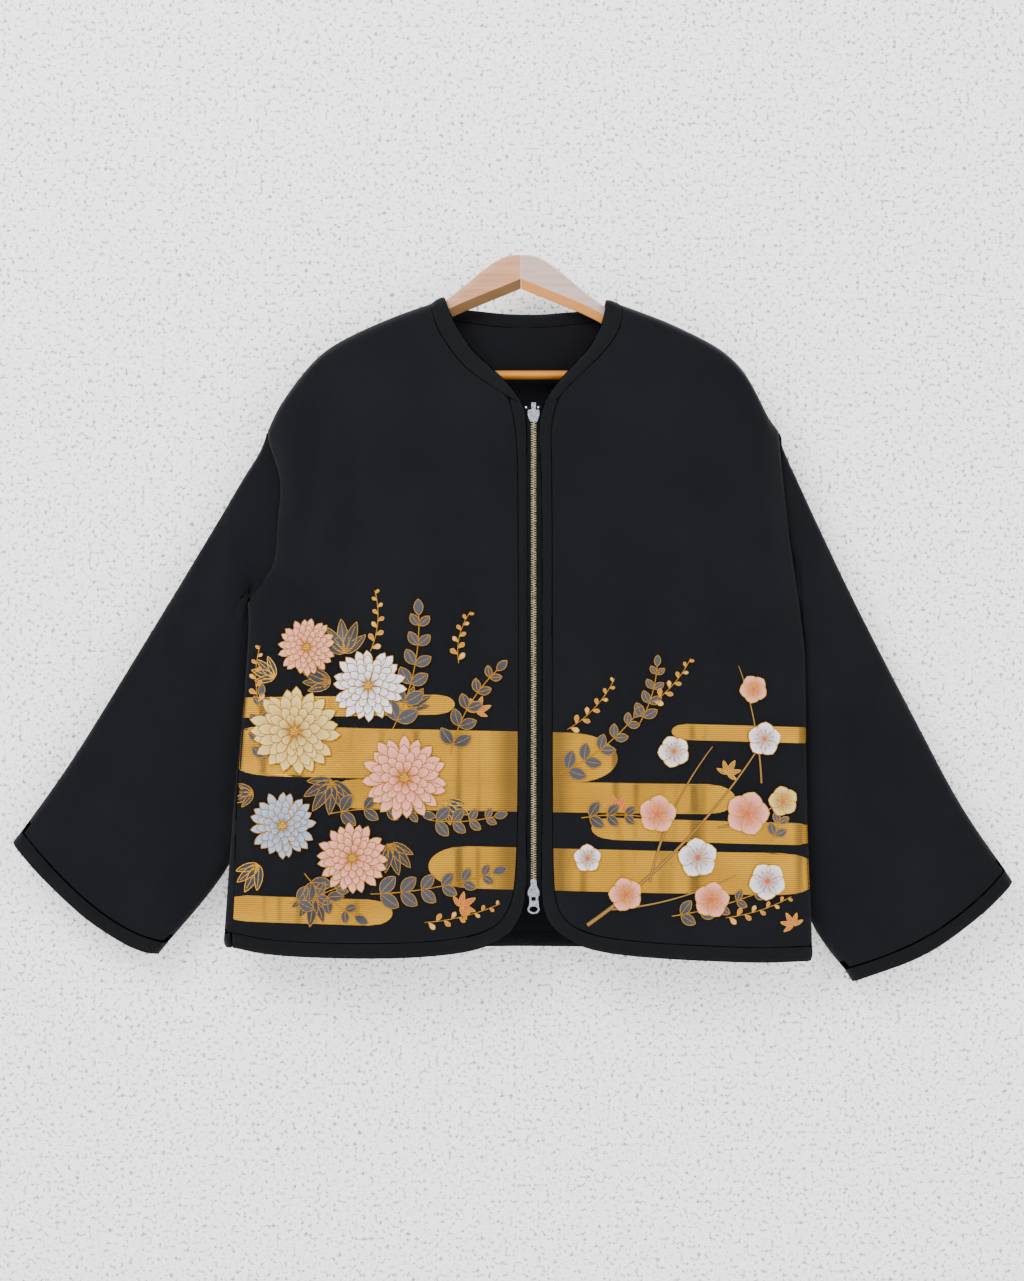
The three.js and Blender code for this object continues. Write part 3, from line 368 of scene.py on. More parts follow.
def points_of(piece):
    """The points of a finished mesh in mm, one row each."""
    flat = np.zeros(len(piece.data.vertices) * 3, np.float32)
    piece.data.vertices.foreach_get("co", flat)
    return flat.reshape(-1, 3).astype(float) / MM


def move_points(piece, points):
    """Puts a mesh's points where the rows say, in mm."""
    piece.data.vertices.foreach_set("co", (points * MM).astype(np.float32).ravel())
    piece.data.update()


def settle(piece, pucker=0.0, pitch=10.0):
    """Moves a cloth piece's points by the fields of folds, and puckers it finely where it is a bound edge."""
    points = points_of(piece)
    normals = np.zeros(points.size, np.float32)
    piece.data.vertices.foreach_get("normal", normals)
    points += SEAM_FILL * normals.reshape(-1, 3)
    plan = points[:, [0, 2]]
    forward = layer_middle(points[:, 0]) - points[:, 1]
    front = smooth_step(forward / LAYER_EASE + 0.1)
    back = smooth_step(-forward / LAYER_EASE + 0.1)
    points[:, 1] += front * fold_depth(plan, FRONT_CREASES, 3.0)
    points[:, 1] -= back * fold_depth(plan, BACK_CREASES, 9.0)
    if pucker:
        fine = [noise.noise(Vector(p) / pitch) for p in points]
        broad = [noise.noise(Vector(p) / (3.1 * pitch)) for p in points]
        points[:, 1] += pucker * (np.array(fine) + 0.8 * np.array(broad))
    move_points(piece, points)


def shaded_turn():
    """Painted shade in the turn of a seam: the cloth, its nap pressed flat, painted black and without shine
    where no light reaches it.
    """
    material, tree, output = new_material("painted_shade_in_the_seam")
    surface = add(
        tree,
        "ShaderNodeBsdfPrincipled",
        Base_Color=colour("#010102"),
        Roughness=1.0,
        Specular_IOR_Level=0.0,
    )
    tree.links.new(surface.outputs[0], output.inputs["Surface"])
    return material


seam_painted_shade = shaded_turn()


def sewn(node, levels, material):
    """A piece of cloth on its own wall in the frame, smooth, with its edges rounded into the seams, their
    turns in painted shade where they look away from the front or back.
    """
    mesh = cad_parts[node].data.copy()
    piece = bpy.data.objects.new("cloth_" + node, mesh)
    bpy.context.scene.collection.objects.link(piece)
    mesh.materials.clear()
    mesh.materials.append(material)
    mesh.materials.append(seam_painted_shade)
    shape = bmesh.new()
    shape.from_mesh(mesh)
    bmesh.ops.remove_doubles(shape, verts=shape.verts, dist=0.01 * MM)
    bmesh.ops.join_triangles(
        shape, faces=shape.faces, angle_face_threshold=0.6, angle_shape_threshold=1.2
    )
    shape.to_mesh(mesh)
    shape.free()
    bpy.context.view_layer.objects.active = piece
    turned = piece.modifiers.new("turned_edges", "BEVEL")
    turned.width = SEAM_TURN
    turned.segments = 2
    turned.angle_limit = math.radians(50)
    turned.material = SEAM_SHADE_SLOT
    finer = piece.modifiers.new("finer", "SUBSURF")
    finer.levels = levels
    finer.render_levels = levels
    for modifier in [turned.name, finer.name]:
        bpy.ops.object.modifier_apply(modifier=modifier)
    # Painted shade: the rounded turns keep the black seam material, except where they face the front or back
    # or lie at the neck's corners.
    for face in mesh.polygons:
        face.use_smooth = True
        uneven = SEAM_UNEVEN * noise.noise(face.center / SEAM_WAVE)
        at_neck = face.center.z > NECK_POINT[1] * MM and abs(face.center.x) < NECK_POINT[0] * MM
        if at_neck or abs(face.normal.y) > SEAM_STEEP + uneven:
            face.material_index = 0
    return piece


def crepe(name, base, lit):
    """Black rayon crepe: matt, with a faint nap, fine uneven ribs and slow changes of tone from handling.
    The thread, 0.35 mm apart, is drawn at about 1 mm so that it shows from a step away."""
    material, tree, output = new_material(name)
    place = add(tree, "ShaderNodeTexCoord").outputs["Object"]
    across, down = (
        add(
            tree,
            "ShaderNodeTexWave",
            [("Vector", place)],
            bands_direction=way,
            Scale=900.0,
            Distortion=2.5,
            Detail=2.0,
            Detail_Scale=3.0,
        )
        for way in "XZ"
    )
    pebble = add(tree, "ShaderNodeTexNoise", [("Vector", place)], Scale=900.0, Detail=3.0, Roughness=0.6)
    woven = add(tree, "ShaderNodeMath", operation="ADD")
    tree.links.new(across.outputs["Fac"], woven.inputs[0])
    tree.links.new(down.outputs["Fac"], woven.inputs[1])
    crinkle = add(tree, "ShaderNodeMath", operation="ADD")
    tree.links.new(woven.outputs[0], crinkle.inputs[0])
    tree.links.new(pebble.outputs["Fac"], crinkle.inputs[1])
    relief = add(
        tree, "ShaderNodeBump", [("Height", crinkle.outputs[0])], Strength=0.5, Distance=0.00022
    )
    slow = add(tree, "ShaderNodeTexNoise", [("Vector", place)], Scale=11.0, Detail=4.0, Roughness=0.55)
    nubs = add(tree, "ShaderNodeTexNoise", [("Vector", place)], Scale=420.0, Detail=2.0, Roughness=0.7)
    tone = add(tree, "ShaderNodeMath", operation="MULTIPLY_ADD")
    tree.links.new(nubs.outputs["Fac"], tone.inputs[0])
    tone.inputs[1].default_value = 0.45
    tree.links.new(slow.outputs["Fac"], tone.inputs[2])
    tint = add(tree, "ShaderNodeValToRGB", [("Fac", tone.outputs[0])])
    tint.color_ramp.elements[0].position = 0.5
    tint.color_ramp.elements[0].color = colour(base)
    tint.color_ramp.elements[1].position = 0.95
    tint.color_ramp.elements[1].color = colour(lit)
    surface = add(
        tree,
        "ShaderNodeBsdfPrincipled",
        [("Base Color", tint.outputs[0]), ("Normal", relief.outputs["Normal"])],
        Roughness=0.82,
        Specular_IOR_Level=0.14,
        Sheen_Weight=0.035,
        Sheen_Roughness=0.5,
    )
    tree.links.new(surface.outputs[0], output.inputs["Surface"])
    return material


def lift_to_neck(piece):
    """Draws the corner at the centre of the back up into the neck band."""
    for vertex in piece.data.vertices:
        from_corner = Vector((vertex.co.x, vertex.co.z)) / MM - Vector((0, NECK_CORNER))
        vertex.co.z += NECK_LIFT * math.exp(-from_corner.length_squared / NECK_SPREAD**2)


def cloth(node, material, levels, pucker=0.0, pitch=10.0):
    """Makes, finishes and declares one sewn piece."""
    piece = sewn(node, levels, material)
    settle(piece, pucker, pitch)
    if node.startswith("back"):
        lift_to_neck(piece)
    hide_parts(node)
    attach(piece, "jacket")
    return piece


# Fronts and backs: four panels that hang from the hanger's arms, joined down the middle of the back,
# along the shoulders and down the sides. Each goes out past the shoulder to the dropped armhole.
body_cloth = crepe("black_crepe", "#030408", "#08090e")
fronts = {}
for side in ["right", "left"]:
    fronts[side] = cloth(
        "front_" + side, body_cloth, 3
    )
    cloth("back_" + side, body_cloth, 2)


# Print: gold haze and garden flowers, stencilled and painted on the lower half of both fronts.
# Pigment and gold leaf lie on the cloth in thin layers, each motif over what was laid before it.
# All of it is drawn flat in mm, then laid on the finished cloth, so it follows the folds.
random.seed(11)
SHADES = {
    "gold": "#a87408",
    "bright_gold": "#d29a1c",
    "dull_gold": "#55401c",
    "slate": "#2b2f39",
    "deep_slate": "#14181f",
    "coral": "#b23c24",
    "rose_tip": "#e39a86",
    "rose_root": "#a82c24",
    "straw_tip": "#d8bb6c",
    "straw_root": "#80500c",
    "sky_tip": "#93aac4",
    "sky_root": "#2c4f80",
    "white_tip": "#e4e2e6",
    "white_root": "#7d769c",
    "bark": "#4e3a1e",
}
LAYER = 0.1  # mm between one layer of paint and the next
stations = []  # every painted point: x, z, layer, shade and how much of it is leaf
cells = []  # the four-cornered cells between them


def shade(name):
    return np.array(linear(SHADES[name]))


def blade(spine, half_widths, edge, middle, layer, leaf=0.0):
    """Paints a strip along a spine, of changing width; edge and middle are a shade for each station."""
    spine = np.array(spine, float)
    ahead = np.gradient(spine, axis=0)
    ahead /= np.maximum(np.linalg.norm(ahead, axis=1), 1e-9)[:, None]
    beside = np.stack([-ahead[:, 1], ahead[:, 0]], axis=1)
    first = len(stations)
    for at, out, wide, rim, core in zip(spine, beside, half_widths, edge, middle):
        for share, tint in ((-1, rim), (0, core), (1, rim)):
            x, z = at + out * wide * share
            stations.append((x, z, layer, *tint, leaf))
    for row in range(len(spine) - 1):
        a = first + 3 * row
        cells.append((a, a + 1, a + 4, a + 3))
        cells.append((a + 1, a + 2, a + 5, a + 4))
    sides = spine - beside * np.array(half_widths)[:, None], spine + beside * np.array(half_widths)[:, None]
    return sides


def line(points, wide, name, layer, leaf=1.0):
    """Paints a thin line along points."""
    tints = [shade(name)] * len(points)
    blade(points, [wide / 2] * len(points), tints, tints, layer, leaf)


def bent(x, z, angle, length, bend, count):
    """Points on a gently bent line from x, z; angle and bend are in degrees."""
    points = [(x, z)]
    for step in range(count):
        turn = math.radians(angle + bend * (step + 0.5) / count)
        x += length / count * math.cos(turn)
        z += length / count * math.sin(turn)
        points.append((x, z))
    return points


def petal(x, z, angle, length, wide, profile, root, tip, rim, layer, bend=0.0, leaf=0.0):
    """One petal or leaf with its outline. profile is the share of its length at which it is widest."""
    count = 9
    spine = bent(x, z, angle, length, bend, count)
    shares = np.linspace(0, 1, count + 1)
    power = math.log(0.5) / math.log(profile)
    widths = np.maximum(wide * np.sin(math.pi * shares**power) ** 0.75, 0.05)
    mix = shares[:, None] ** 1.5
    middle = shade(root) * (1 - mix) + shade(tip) * mix
    mix = shares[:, None] ** 0.7
    edge = shade(root) * (1 - mix) + shade(tip) * mix
    low_side, high_side = blade(spine, widths, edge, middle, layer, leaf)
    outline = np.concatenate([low_side, high_side[::-1]])
    line(outline, 0.8, rim, layer + 1)


def disc(x, z, radius, name, layer, leaf=0.0):
    """A painted dot."""
    spine = [(x - radius + 2 * radius * s, z) for s in (0, 0.15, 0.5, 0.85, 1)]
    widths = [radius * w for w in (0.1, 0.72, 1.0, 0.72, 0.1)]
    blade(spine, widths, [shade(name)] * 5, [shade(name)] * 5, layer, leaf)


# Haze: rounded bars of gold leaf, laid over ribbed size so that fine level lines show.
# Each row: from x, to x, middle z, height, rise over the whole width, in mm.
HAZE = [
    (-300, 96, -497, 50, -8),
    (-190, 214, -540, 30, -6),
    (-300, -66, -455, 20, 4),
    (-92, 300, -612, 42, -10),
    (70, 300, -574, 22, -8),
    (-300, -128, -655, 26, -4),
    (150, 300, -478, 16, -5),
]
HAZE_ROW = 1.6  # mm between the rows of points that a bar is painted from
HAZE_COLUMNS = 96
graph = bpy.context.evaluated_depsgraph_get()
front_tree = {side: BVHTree.FromObject(fronts[side], graph) for side in fronts}


def lies_on(side, x, z):
    """The cloth's depth in mm under a flat point, or None beside it."""
    hit = front_tree[side].ray_cast(Vector((x * MM, -0.2, z * MM)), Vector((0, 1, 0)), 0.205)
    return None if hit[0] is None else hit[0].y / MM


def reach(side, z):
    """The panel's first and last x at a height, found to a quarter of a millimetre."""
    inside = -150.0 if side == "right" else 150.0
    ends = []
    for sign in (-1, 1):
        near, far = inside, inside + sign * 190
        while abs(far - near) > 0.25:
            half = (near + far) / 2
            if lies_on(side, half, z) is None:
                far = half
            else:
                near = half
        ends.append(near)
    return ends


def haze_tint(x, z):
    """Gold leaf's tone: slow clouds, broad upright stains where the leaf is thin, and a duller tone towards
    the zip.
    """
    cloud = noise.noise(Vector((x / 46, z / 30, 2.0))) * 0.5 + 0.5
    stain = noise.noise(Vector((x / 11, z / 240, 7.0)))
    tone = shade("gold") * (1 - cloud) + shade("bright_gold") * cloud
    thin = np.clip((stain - 0.12) * 2.2, 0, 0.75)
    # Duller towards the zip, within about 46 mm of it.
    thin = max(thin, 0.72 * float(smooth_step((46 - abs(x - ZIP_PLACE)) / 22)))
    return tone * (1 - thin) + shade("dull_gold") * thin


for number, (from_x, to_x, middle_z, tall, rise) in enumerate(HAZE):
    rows = int(tall / HAZE_ROW)
    for side in fronts:
        grid = []
        for row in range(rows + 1):
            off = tall * (row / rows - 0.5)
            inset = 1.9 * (tall / 2 - math.sqrt(max((tall / 2) ** 2 - off**2, 0)))
            left, right = reach(side, middle_z + off)
            left, right = max(left + 0.4, from_x + inset), min(right - 0.4, to_x - inset)
            if right - left > 2:
                grid.append((off, left, right))
        for off, left, right in grid:
            for share in np.linspace(0, 1, HAZE_COLUMNS):
                x = left + (right - left) * share
                z = middle_z + off + rise * (x - from_x) / (to_x - from_x)
                stations.append((x, z, 1 + 0.7 * number, *haze_tint(x, z), 1.0))
        first = len(stations) - HAZE_COLUMNS * len(grid)
        for row in range(len(grid) - 1):
            for column in range(HAZE_COLUMNS - 1):
                a = first + row * HAZE_COLUMNS + column
                cells.append((a, a + 1, a + HAZE_COLUMNS + 1, a + HAZE_COLUMNS))


# Flowers: full chrysanthemums on the right front, and a plum branch in blossom on the left.
# Each petal is graded from its root to its tip and outlined in gold.
# Each flower's row: x, z, radius, kind, turn in degrees.
CHRYSANTHEMUMS = [
    (-226, -478, 42, "straw", 8),
    (-152, -432, 35, "white", 30),
    (-116, -524, 40, "rose", 14),
    (-238, -572, 31, "sky", 0),
    (-168, -604, 33, "rose", 21),
    (-214, -394, 27, "rose", 5),
]
PLUMS = [
    (136, -560, 19, "rose", 10),
    (152, -498, 16, "white", 40),
    (176, -604, 20, "white", 25),
    (226, -560, 22, "rose", 0),
    (262, -548, 15, "straw", 30),
    (243, -486, 17, "white", 12),
    (232, -436, 14, "rose", 44),
    (104, -640, 17, "rose", 33),
    (190, -646, 18, "rose", 8),
    (246, -628, 19, "white", 50),
    (66, -604, 14, "white", 20),
]
# Each branch's row: x, z, angle, length, bend, width at the root.
PLUM_BRANCHES = [
    (58, -676, 34, 250, 22, 4.2),
    (128, -628, 78, 150, -26, 2.8),
    (196, -574, 8, 84, 34, 2.4),
    (240, -530, 92, 120, 18, 2.0),
    (90, -655, 4, 130, 22, 2.2),
]
PETAL_RINGS = [(1.0, 19), (0.8, 16), (0.58, 13), (0.36, 9)]  # share of the radius, petals
FLOWER_LAYER = 18
BRANCH_STEPS = 26


def chrysanthemum(x, z, radius, kind, turn):
    """Four rings of long petals, the inner ones shorter and over the outer, round a gold heart."""
    for ring, (share, count) in enumerate(PETAL_RINGS):
        for number in range(count):
            angle = turn + 360 * (number + 0.5 * (ring % 2)) / count
            length = radius * share * random.uniform(0.93, 1.05)
            wide = 3.0 * radius * share / count * 0.86
            start = 0.06 * radius
            px = x + start * math.cos(math.radians(angle))
            pz = z + start * math.sin(math.radians(angle))
            petal(
                px,
                pz,
                angle,
                length,
                wide,
                profile=0.72,
                root=kind + "_root",
                tip=kind + "_tip",
                rim="gold",
                layer=FLOWER_LAYER + 2 * ring + (number % 2) * 0.8,
                bend=random.uniform(-14, 14),
            )
    disc(x, z, 0.12 * radius, "straw_root", FLOWER_LAYER + 9)
    for number in range(14):
        angle = number * 2.4
        far = 0.1 * radius * math.sqrt(number / 14)
        disc(x + far * math.cos(angle), z + far * math.sin(angle), 0.9, "bright_gold", FLOWER_LAYER + 10, 1)


def plum_blossom(x, z, radius, kind, turn):
    """Five round petals and a spray of stamens."""
    for number in range(5):
        angle = turn + 72 * number
        petal(
            x,
            z,
            angle,
            radius,
            0.5 * radius,
            profile=0.6,
            root=kind + "_root",
            tip=kind + "_tip",
            rim="bright_gold",
            layer=FLOWER_LAYER + (number % 3) * 0.8,
        )
    for number in range(11):
        angle = turn + 360 * number / 11
        far = radius * random.uniform(0.42, 0.56)
        spray = bent(x, z, angle, far, 8, 3)
        line(spray, 0.5, "bright_gold", FLOWER_LAYER + 4)
        disc(*spray[-1], 0.9, "bright_gold", FLOWER_LAYER + 5, 1)
    disc(x, z, 0.13 * radius, "coral", FLOWER_LAYER + 5)


for row in CHRYSANTHEMUMS:
    chrysanthemum(*row)
for row in PLUMS:
    plum_blossom(*row)
for x, z, angle, length, bend, wide in PLUM_BRANCHES:
    spine = bent(x, z, angle, length, bend, BRANCH_STEPS)
    widths = [wide / 2 * (1 - 0.65 * step / BRANCH_STEPS) for step in range(len(spine))]
    blade(spine, widths, [shade("bark")] * len(spine), [shade("gold")] * len(spine), 9, 0.5)


# Foliage: sprigs of paired slate leaves with gold veins, fans of pointed leaves and strings of buds.
# Each sprig's row: x, z, angle, length, bend, pairs, leaf length, shade.
SPRIGS = [
    (-128, -476, 62, 118, 30, 6, 23, "slate"),
    (-70, -500, 78, 96, -34, 5, 20, "deep_slate"),
    (-92, -566, -8, 66, 22, 4, 19, "slate"),
    (-150, -640, 2, 124, 16, 6, 22, "slate"),
    (-216, -620, -52, 66, 24, 3, 22, "deep_slate"),
    (-252, -512, 112, 70, -30, 4, 18, "slate"),
    (-190, -560, 12, 92, -24, 4, 20, "deep_slate"),
    (-232, -650, 12, 80, 20, 4, 18, "slate"),
    (38, -520, 24, 94, 26, 5, 20, "slate"),
    (60, -564, 10, 70, -20, 4, 18, "deep_slate"),
    (118, -470, 60, 60, 26, 4, 16, "slate"),
    (150, -662, 8, 96, 14, 5, 17, "deep_slate"),
    (250, -588, 60, 40, 30, 3, 15, "slate"),
]
# Each fan's row: x, z, middle angle, spread, leaves, leaf length, shade, rim.
FANS = [
    (-176, -400, 96, 120, 5, 34, "deep_slate", "gold"),
    (-246, -424, 150, 90, 4, 26, "deep_slate", "bright_gold"),
    (-188, -528, 250, 150, 6, 34, "deep_slate", "gold"),
    (-268, -540, 190, 90, 4, 24, "deep_slate", "gold"),
    (-130, -590, 285, 110, 5, 32, "deep_slate", "gold"),
    (-76, -548, 320, 80, 4, 28, "deep_slate", "bright_gold"),
    (-206, -640, 262, 110, 5, 32, "deep_slate", "gold"),
    (-262, -612, 230, 80, 4, 30, "deep_slate", "bright_gold"),
    (-112, -454, 40, 80, 4, 26, "deep_slate", "gold"),
    (-190, -430, 168, 70, 4, 30, "deep_slate", "gold"),
    (-60, -652, 30, 200, 5, 17, "coral", "bright_gold"),
    (-44, -458, 70, 200, 5, 15, "coral", "bright_gold"),
    (96, -556, 110, 200, 5, 16, "coral", "bright_gold"),
    (206, -520, 60, 200, 5, 15, "straw_root", "bright_gold"),
    (272, -672, 120, 200, 5, 14, "coral", "bright_gold"),
]
# Each string of buds' row: x, z, angle, length, bend, buds.
BUDS = [
    (-150, -398, 66, 62, 40, 9),
    (-62, -410, 100, 54, -46, 9),
    (-96, -668, 4, 78, 20, 10),
    (46, -476, 30, 70, 34, 10),
    (130, -450, 34, 60, 30, 9),
    (204, -664, 6, 70, 22, 9),
    (-262, -452, 104, 60, -30, 8),
]

for x, z, angle, length, bend, pairs, leaf_length, tint in SPRIGS:
    stem = bent(x, z, angle, length, bend, 4 * pairs)
    line(stem, 1.0, "gold", 8)
    for number in range(1, pairs + 1):
        sx, sz = stem[4 * number - 2]
        heading = angle + bend * (number - 0.5) / pairs
        size = leaf_length * (1.1 - 0.5 * number / pairs)
        for sign in (-1, 1):
            turn = heading + sign * random.uniform(44, 62)
            petal(sx, sz, turn, size, 0.3 * size, 0.5, tint, "slate", "gold", 10 + number % 2, -sign * 16)
            line(bent(sx, sz, turn, 0.9 * size, -sign * 16, 6), 0.6, "gold", 12.5)
    petal(*stem[-1], angle + bend, 0.7 * leaf_length, 0.2 * leaf_length, 0.5, tint, "slate", "gold", 11)

for x, z, angle, spread, count, leaf_length, tint, rim in FANS:
    for number in range(count):
        share = number / (count - 1) - 0.5
        size = leaf_length * (1 - 0.8 * share**2) * random.uniform(0.92, 1.06)
        turn = angle + spread * share
        petal(x, z, turn, size, 0.17 * size, 0.42, tint, tint, rim, 5 + number % 2, -18 * share)
        line(bent(x, z, turn, 0.86 * size, -18 * share, 6), 0.6, rim, 7)

for x, z, angle, length, bend, count in BUDS:
    stem = bent(x, z, angle, length, bend, 2 * count)
    line(stem, 0.8, "gold", 8)
    for number in range(count):
        bx, bz = stem[2 * number + 1]
        turn = angle + bend * number / count + (52 if number % 2 else -52)
        size = 8.5 * (1.1 - 0.6 * number / count)
        tip = "coral" if number % 3 else "rose_tip"
        petal(bx, bz, turn, size, 0.25 * size, 0.66, "gold", tip, "bright_gold", 11)


def paint():
    """Pigment and gold leaf on cloth: pigment is matt, leaf shines and shows fine level ribs 2 mm apart."""
    material, tree, output = new_material("pigment_and_gold_leaf")
    place = add(tree, "ShaderNodeTexCoord").outputs["Object"]
    tint = add(tree, "ShaderNodeAttribute", attribute_name="tint")
    leaf = add(tree, "ShaderNodeAttribute", attribute_name="leaf")
    ribs = add(
        tree,
        "ShaderNodeTexWave",
        [("Vector", place)],
        bands_direction="Z",
        Scale=155.0,
        Distortion=1.6,
        Detail=2.0,
        Detail_Scale=1.4,
    )
    weave = add(tree, "ShaderNodeTexNoise", [("Vector", place)], Scale=800.0, Detail=2.0, Roughness=0.6)
    ribbed = add(tree, "ShaderNodeMath", operation="MULTIPLY")
    tree.links.new(ribs.outputs["Fac"], ribbed.inputs[0])
    tree.links.new(leaf.outputs["Fac"], ribbed.inputs[1])
    height = add(tree, "ShaderNodeMath", operation="ADD")
    tree.links.new(ribbed.outputs[0], height.inputs[0])
    tree.links.new(weave.outputs["Fac"], height.inputs[1])
    relief = add(
        tree, "ShaderNodeBump", [("Height", height.outputs[0])], Strength=0.5, Distance=0.0003
    )
    darker = add(tree, "ShaderNodeMapRange", [("Value", ribbed.outputs[0])])
    darker.inputs["To Min"].default_value = 1.0
    darker.inputs["To Max"].default_value = 0.58
    worn = add(tree, "ShaderNodeMix", data_type="RGBA", blend_type="MULTIPLY")
    worn.inputs["Factor"].default_value = 1.0
    tree.links.new(tint.outputs["Color"], worn.inputs[6])
    tree.links.new(darker.outputs[0], worn.inputs[7])
    metal = add(tree, "ShaderNodeMath", operation="MULTIPLY")
    tree.links.new(leaf.outputs["Fac"], metal.inputs[0])
    metal.inputs[1].default_value = 0.7
    surface = add(
        tree,
        "ShaderNodeBsdfPrincipled",
        [
            ("Base Color", worn.outputs[2]),
            ("Metallic", metal.outputs[0]),
            ("Normal", relief.outputs["Normal"]),
        ],
        Roughness=0.48,
    )
    tree.links.new(surface.outputs[0], output.inputs["Surface"])
    return material


def lay_print(side, material):
    """Lays the flat drawing on one front, as far as the panel goes."""
    depths = {}
    for number, (x, z, layer, *_) in enumerate(stations):
        if (x < ZIP_PLACE) == (side == "right"):
            depth = lies_on(side, x, z)
            if depth is not None:
                depths[number] = depth - LAYER * (1 + layer)
    kept = [cell for cell in cells if all(corner in depths for corner in cell)]
    used = sorted({corner for cell in kept for corner in cell})
    place = {corner: index for index, corner in enumerate(used)}
    points = [(stations[c][0] * MM, depths[c] * MM, stations[c][1] * MM) for c in used]
    mesh = bpy.data.meshes.new("print_" + side)
    mesh.from_pydata(points, [], [[place[corner] for corner in cell] for cell in kept])
    tint = mesh.attributes.new("tint", "FLOAT_COLOR", "POINT")
    tint.data.foreach_set("color", [v for c in used for v in (*stations[c][3:6], 1.0)])
    leaf = mesh.attributes.new("leaf", "FLOAT", "POINT")
    leaf.data.foreach_set("value", [stations[c][6] for c in used])
    piece = bpy.data.objects.new("print_" + side, mesh)
    bpy.context.scene.collection.objects.link(piece)
    shape = bmesh.new()
    shape.from_mesh(mesh)
    wrong_way = [face for face in shape.faces if face.normal.y > 0]
    bmesh.ops.reverse_faces(shape, faces=wrong_way)
    for face in shape.faces:
        face.smooth = True
    shape.to_mesh(mesh)
    shape.free()
    mesh.materials.append(material)
    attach(piece, "jacket")


gold_print = paint()
for side in fronts:
    lay_print(side, gold_print)


# Sleeves: wide straight tubes of the same cloth, sewn to the dropped armholes and hanging at the sides.
# The flat size is the whole width round the tube.
SLEEVE_EASE = 40.0  # mm over which the sleeve is drawn in towards the body
SLEEVE_GAP = 0.2  # mm left between the sleeve and the body's side
SLEEVE_PULL_MOST = 4  # mm
SLEEVE_TUCK = 2.8  # mm it goes in behind the body's side, round the foot of the armhole
TUCK_TOP = {"right": -292.0, "left": -322.0}
TUCK_FOOT = -500.0
TUCK_EASE = (16, 60)  # mm of height over which the tuck comes in at its top and goes at its foot
BESIDE_BODY = np.arange(-430.0, -185.0, 5.0)  # the heights at which the sleeve lies beside the body
sleeves = {}


def draw_in(piece, side):
    """Brings the sleeve's inner edge up to the body's side, so that no light passes under the arm."""
    sign = -1 if side == "right" else 1
    points = points_of(piece)
    out = points[:, 0] * sign
    edges, gaps = [], []
    for height in BESIDE_BODY:
        body = max(sign * x for x in reach(side, height))
        near = np.abs(points[:, 2] - height) < 3
        edges.append(out[near].min())
        gaps.append(np.clip(edges[-1] - body - SLEEVE_GAP, 0, SLEEVE_PULL_MOST))
    inner = np.interp(points[:, 2], BESIDE_BODY, edges)
    gap = np.interp(points[:, 2], BESIDE_BODY, gaps, left=0, right=gaps[-1])
    below_top = smooth_step((TUCK_TOP[side] - points[:, 2]) / TUCK_EASE[0])
    above_foot = smooth_step((points[:, 2] - TUCK_FOOT) / TUCK_EASE[1])
    gap += SLEEVE_TUCK * (below_top * above_foot)
    points[:, 0] -= sign * gap * (1 - smooth_step((out - inner) / SLEEVE_EASE))
    move_points(piece, points)


for side in ["right", "left"]:
    sleeves[side] = cloth(
        "sleeve_" + side, body_cloth, 2
    )
    draw_in(sleeves[side], side)


# Bound edges: strips of the cloth cut across the grain, folded over wadding and felled inside.
# They pucker a little along their seams, round the neck, down the fronts, along the hem and round the cuffs.
binding_cloth = crepe("black_binding_crepe", "#030407", "#07080c")
binding_lengths = {
    "neck_band": 0.53,
    "edge_band_right": 0.77,
    "edge_band_left": 0.77,
    "hem_band_back": 0.6,
    "cuff_right": 0.41,
    "cuff_left": 0.41,
}
bindings = {}
CORNER_TOP = -600.0  # mm, above the fronts' rounded lower corners
CORNER_REACH = 110.0
SEAM_CLOSED = 1.1  # mm apart, up to which the corner's cloth is drawn together
SEAM_FREE = 1.9  # mm apart, from which it is left alone
SEAM_PULL = 0.95
FACE_TURN = -0.3  # the face's points have a normal that looks further forward than this


def close_corner(band, panel_tree):
    """Draws the binding against the panel behind the lower corner's seam, whose face stays open to view."""
    for vertex in band.data.vertices:
        aside = abs(vertex.co.x / MM - ZIP_PLACE)
        on_face = vertex.normal.y < FACE_TURN
        if vertex.co.z < CORNER_TOP * MM and aside < CORNER_REACH and not on_face:
            place, _, _, apart = panel_tree.find_nearest(vertex.co, SEAM_FREE * MM)
            if place is not None:
                share = smooth_step((SEAM_FREE - apart / MM) / (SEAM_FREE - SEAM_CLOSED))
                vertex.co += SEAM_PULL * float(share) * (place - vertex.co)


for node, length in binding_lengths.items():
    bindings[node] = cloth(
        node,
        binding_cloth,
        2,
        pucker=0.55,
        pitch=7.0,
    )
for side in fronts:
    close_corner(bindings["edge_band_" + side], front_tree[side])

# The cuff's seam is drawn as a dark strip of painted shade, laid just clear of the cloth.
CUFF_SEAM_WIDE = 1.5  # mm
CUFF_SEAM_UNEVEN = 0.45
CUFF_SEWN = 1.2  # mm, how near the sleeve the cuff's sewn edge lies
CUFF_SEAM_LIFT = 0.15  # mm that the line lies clear of the cloth


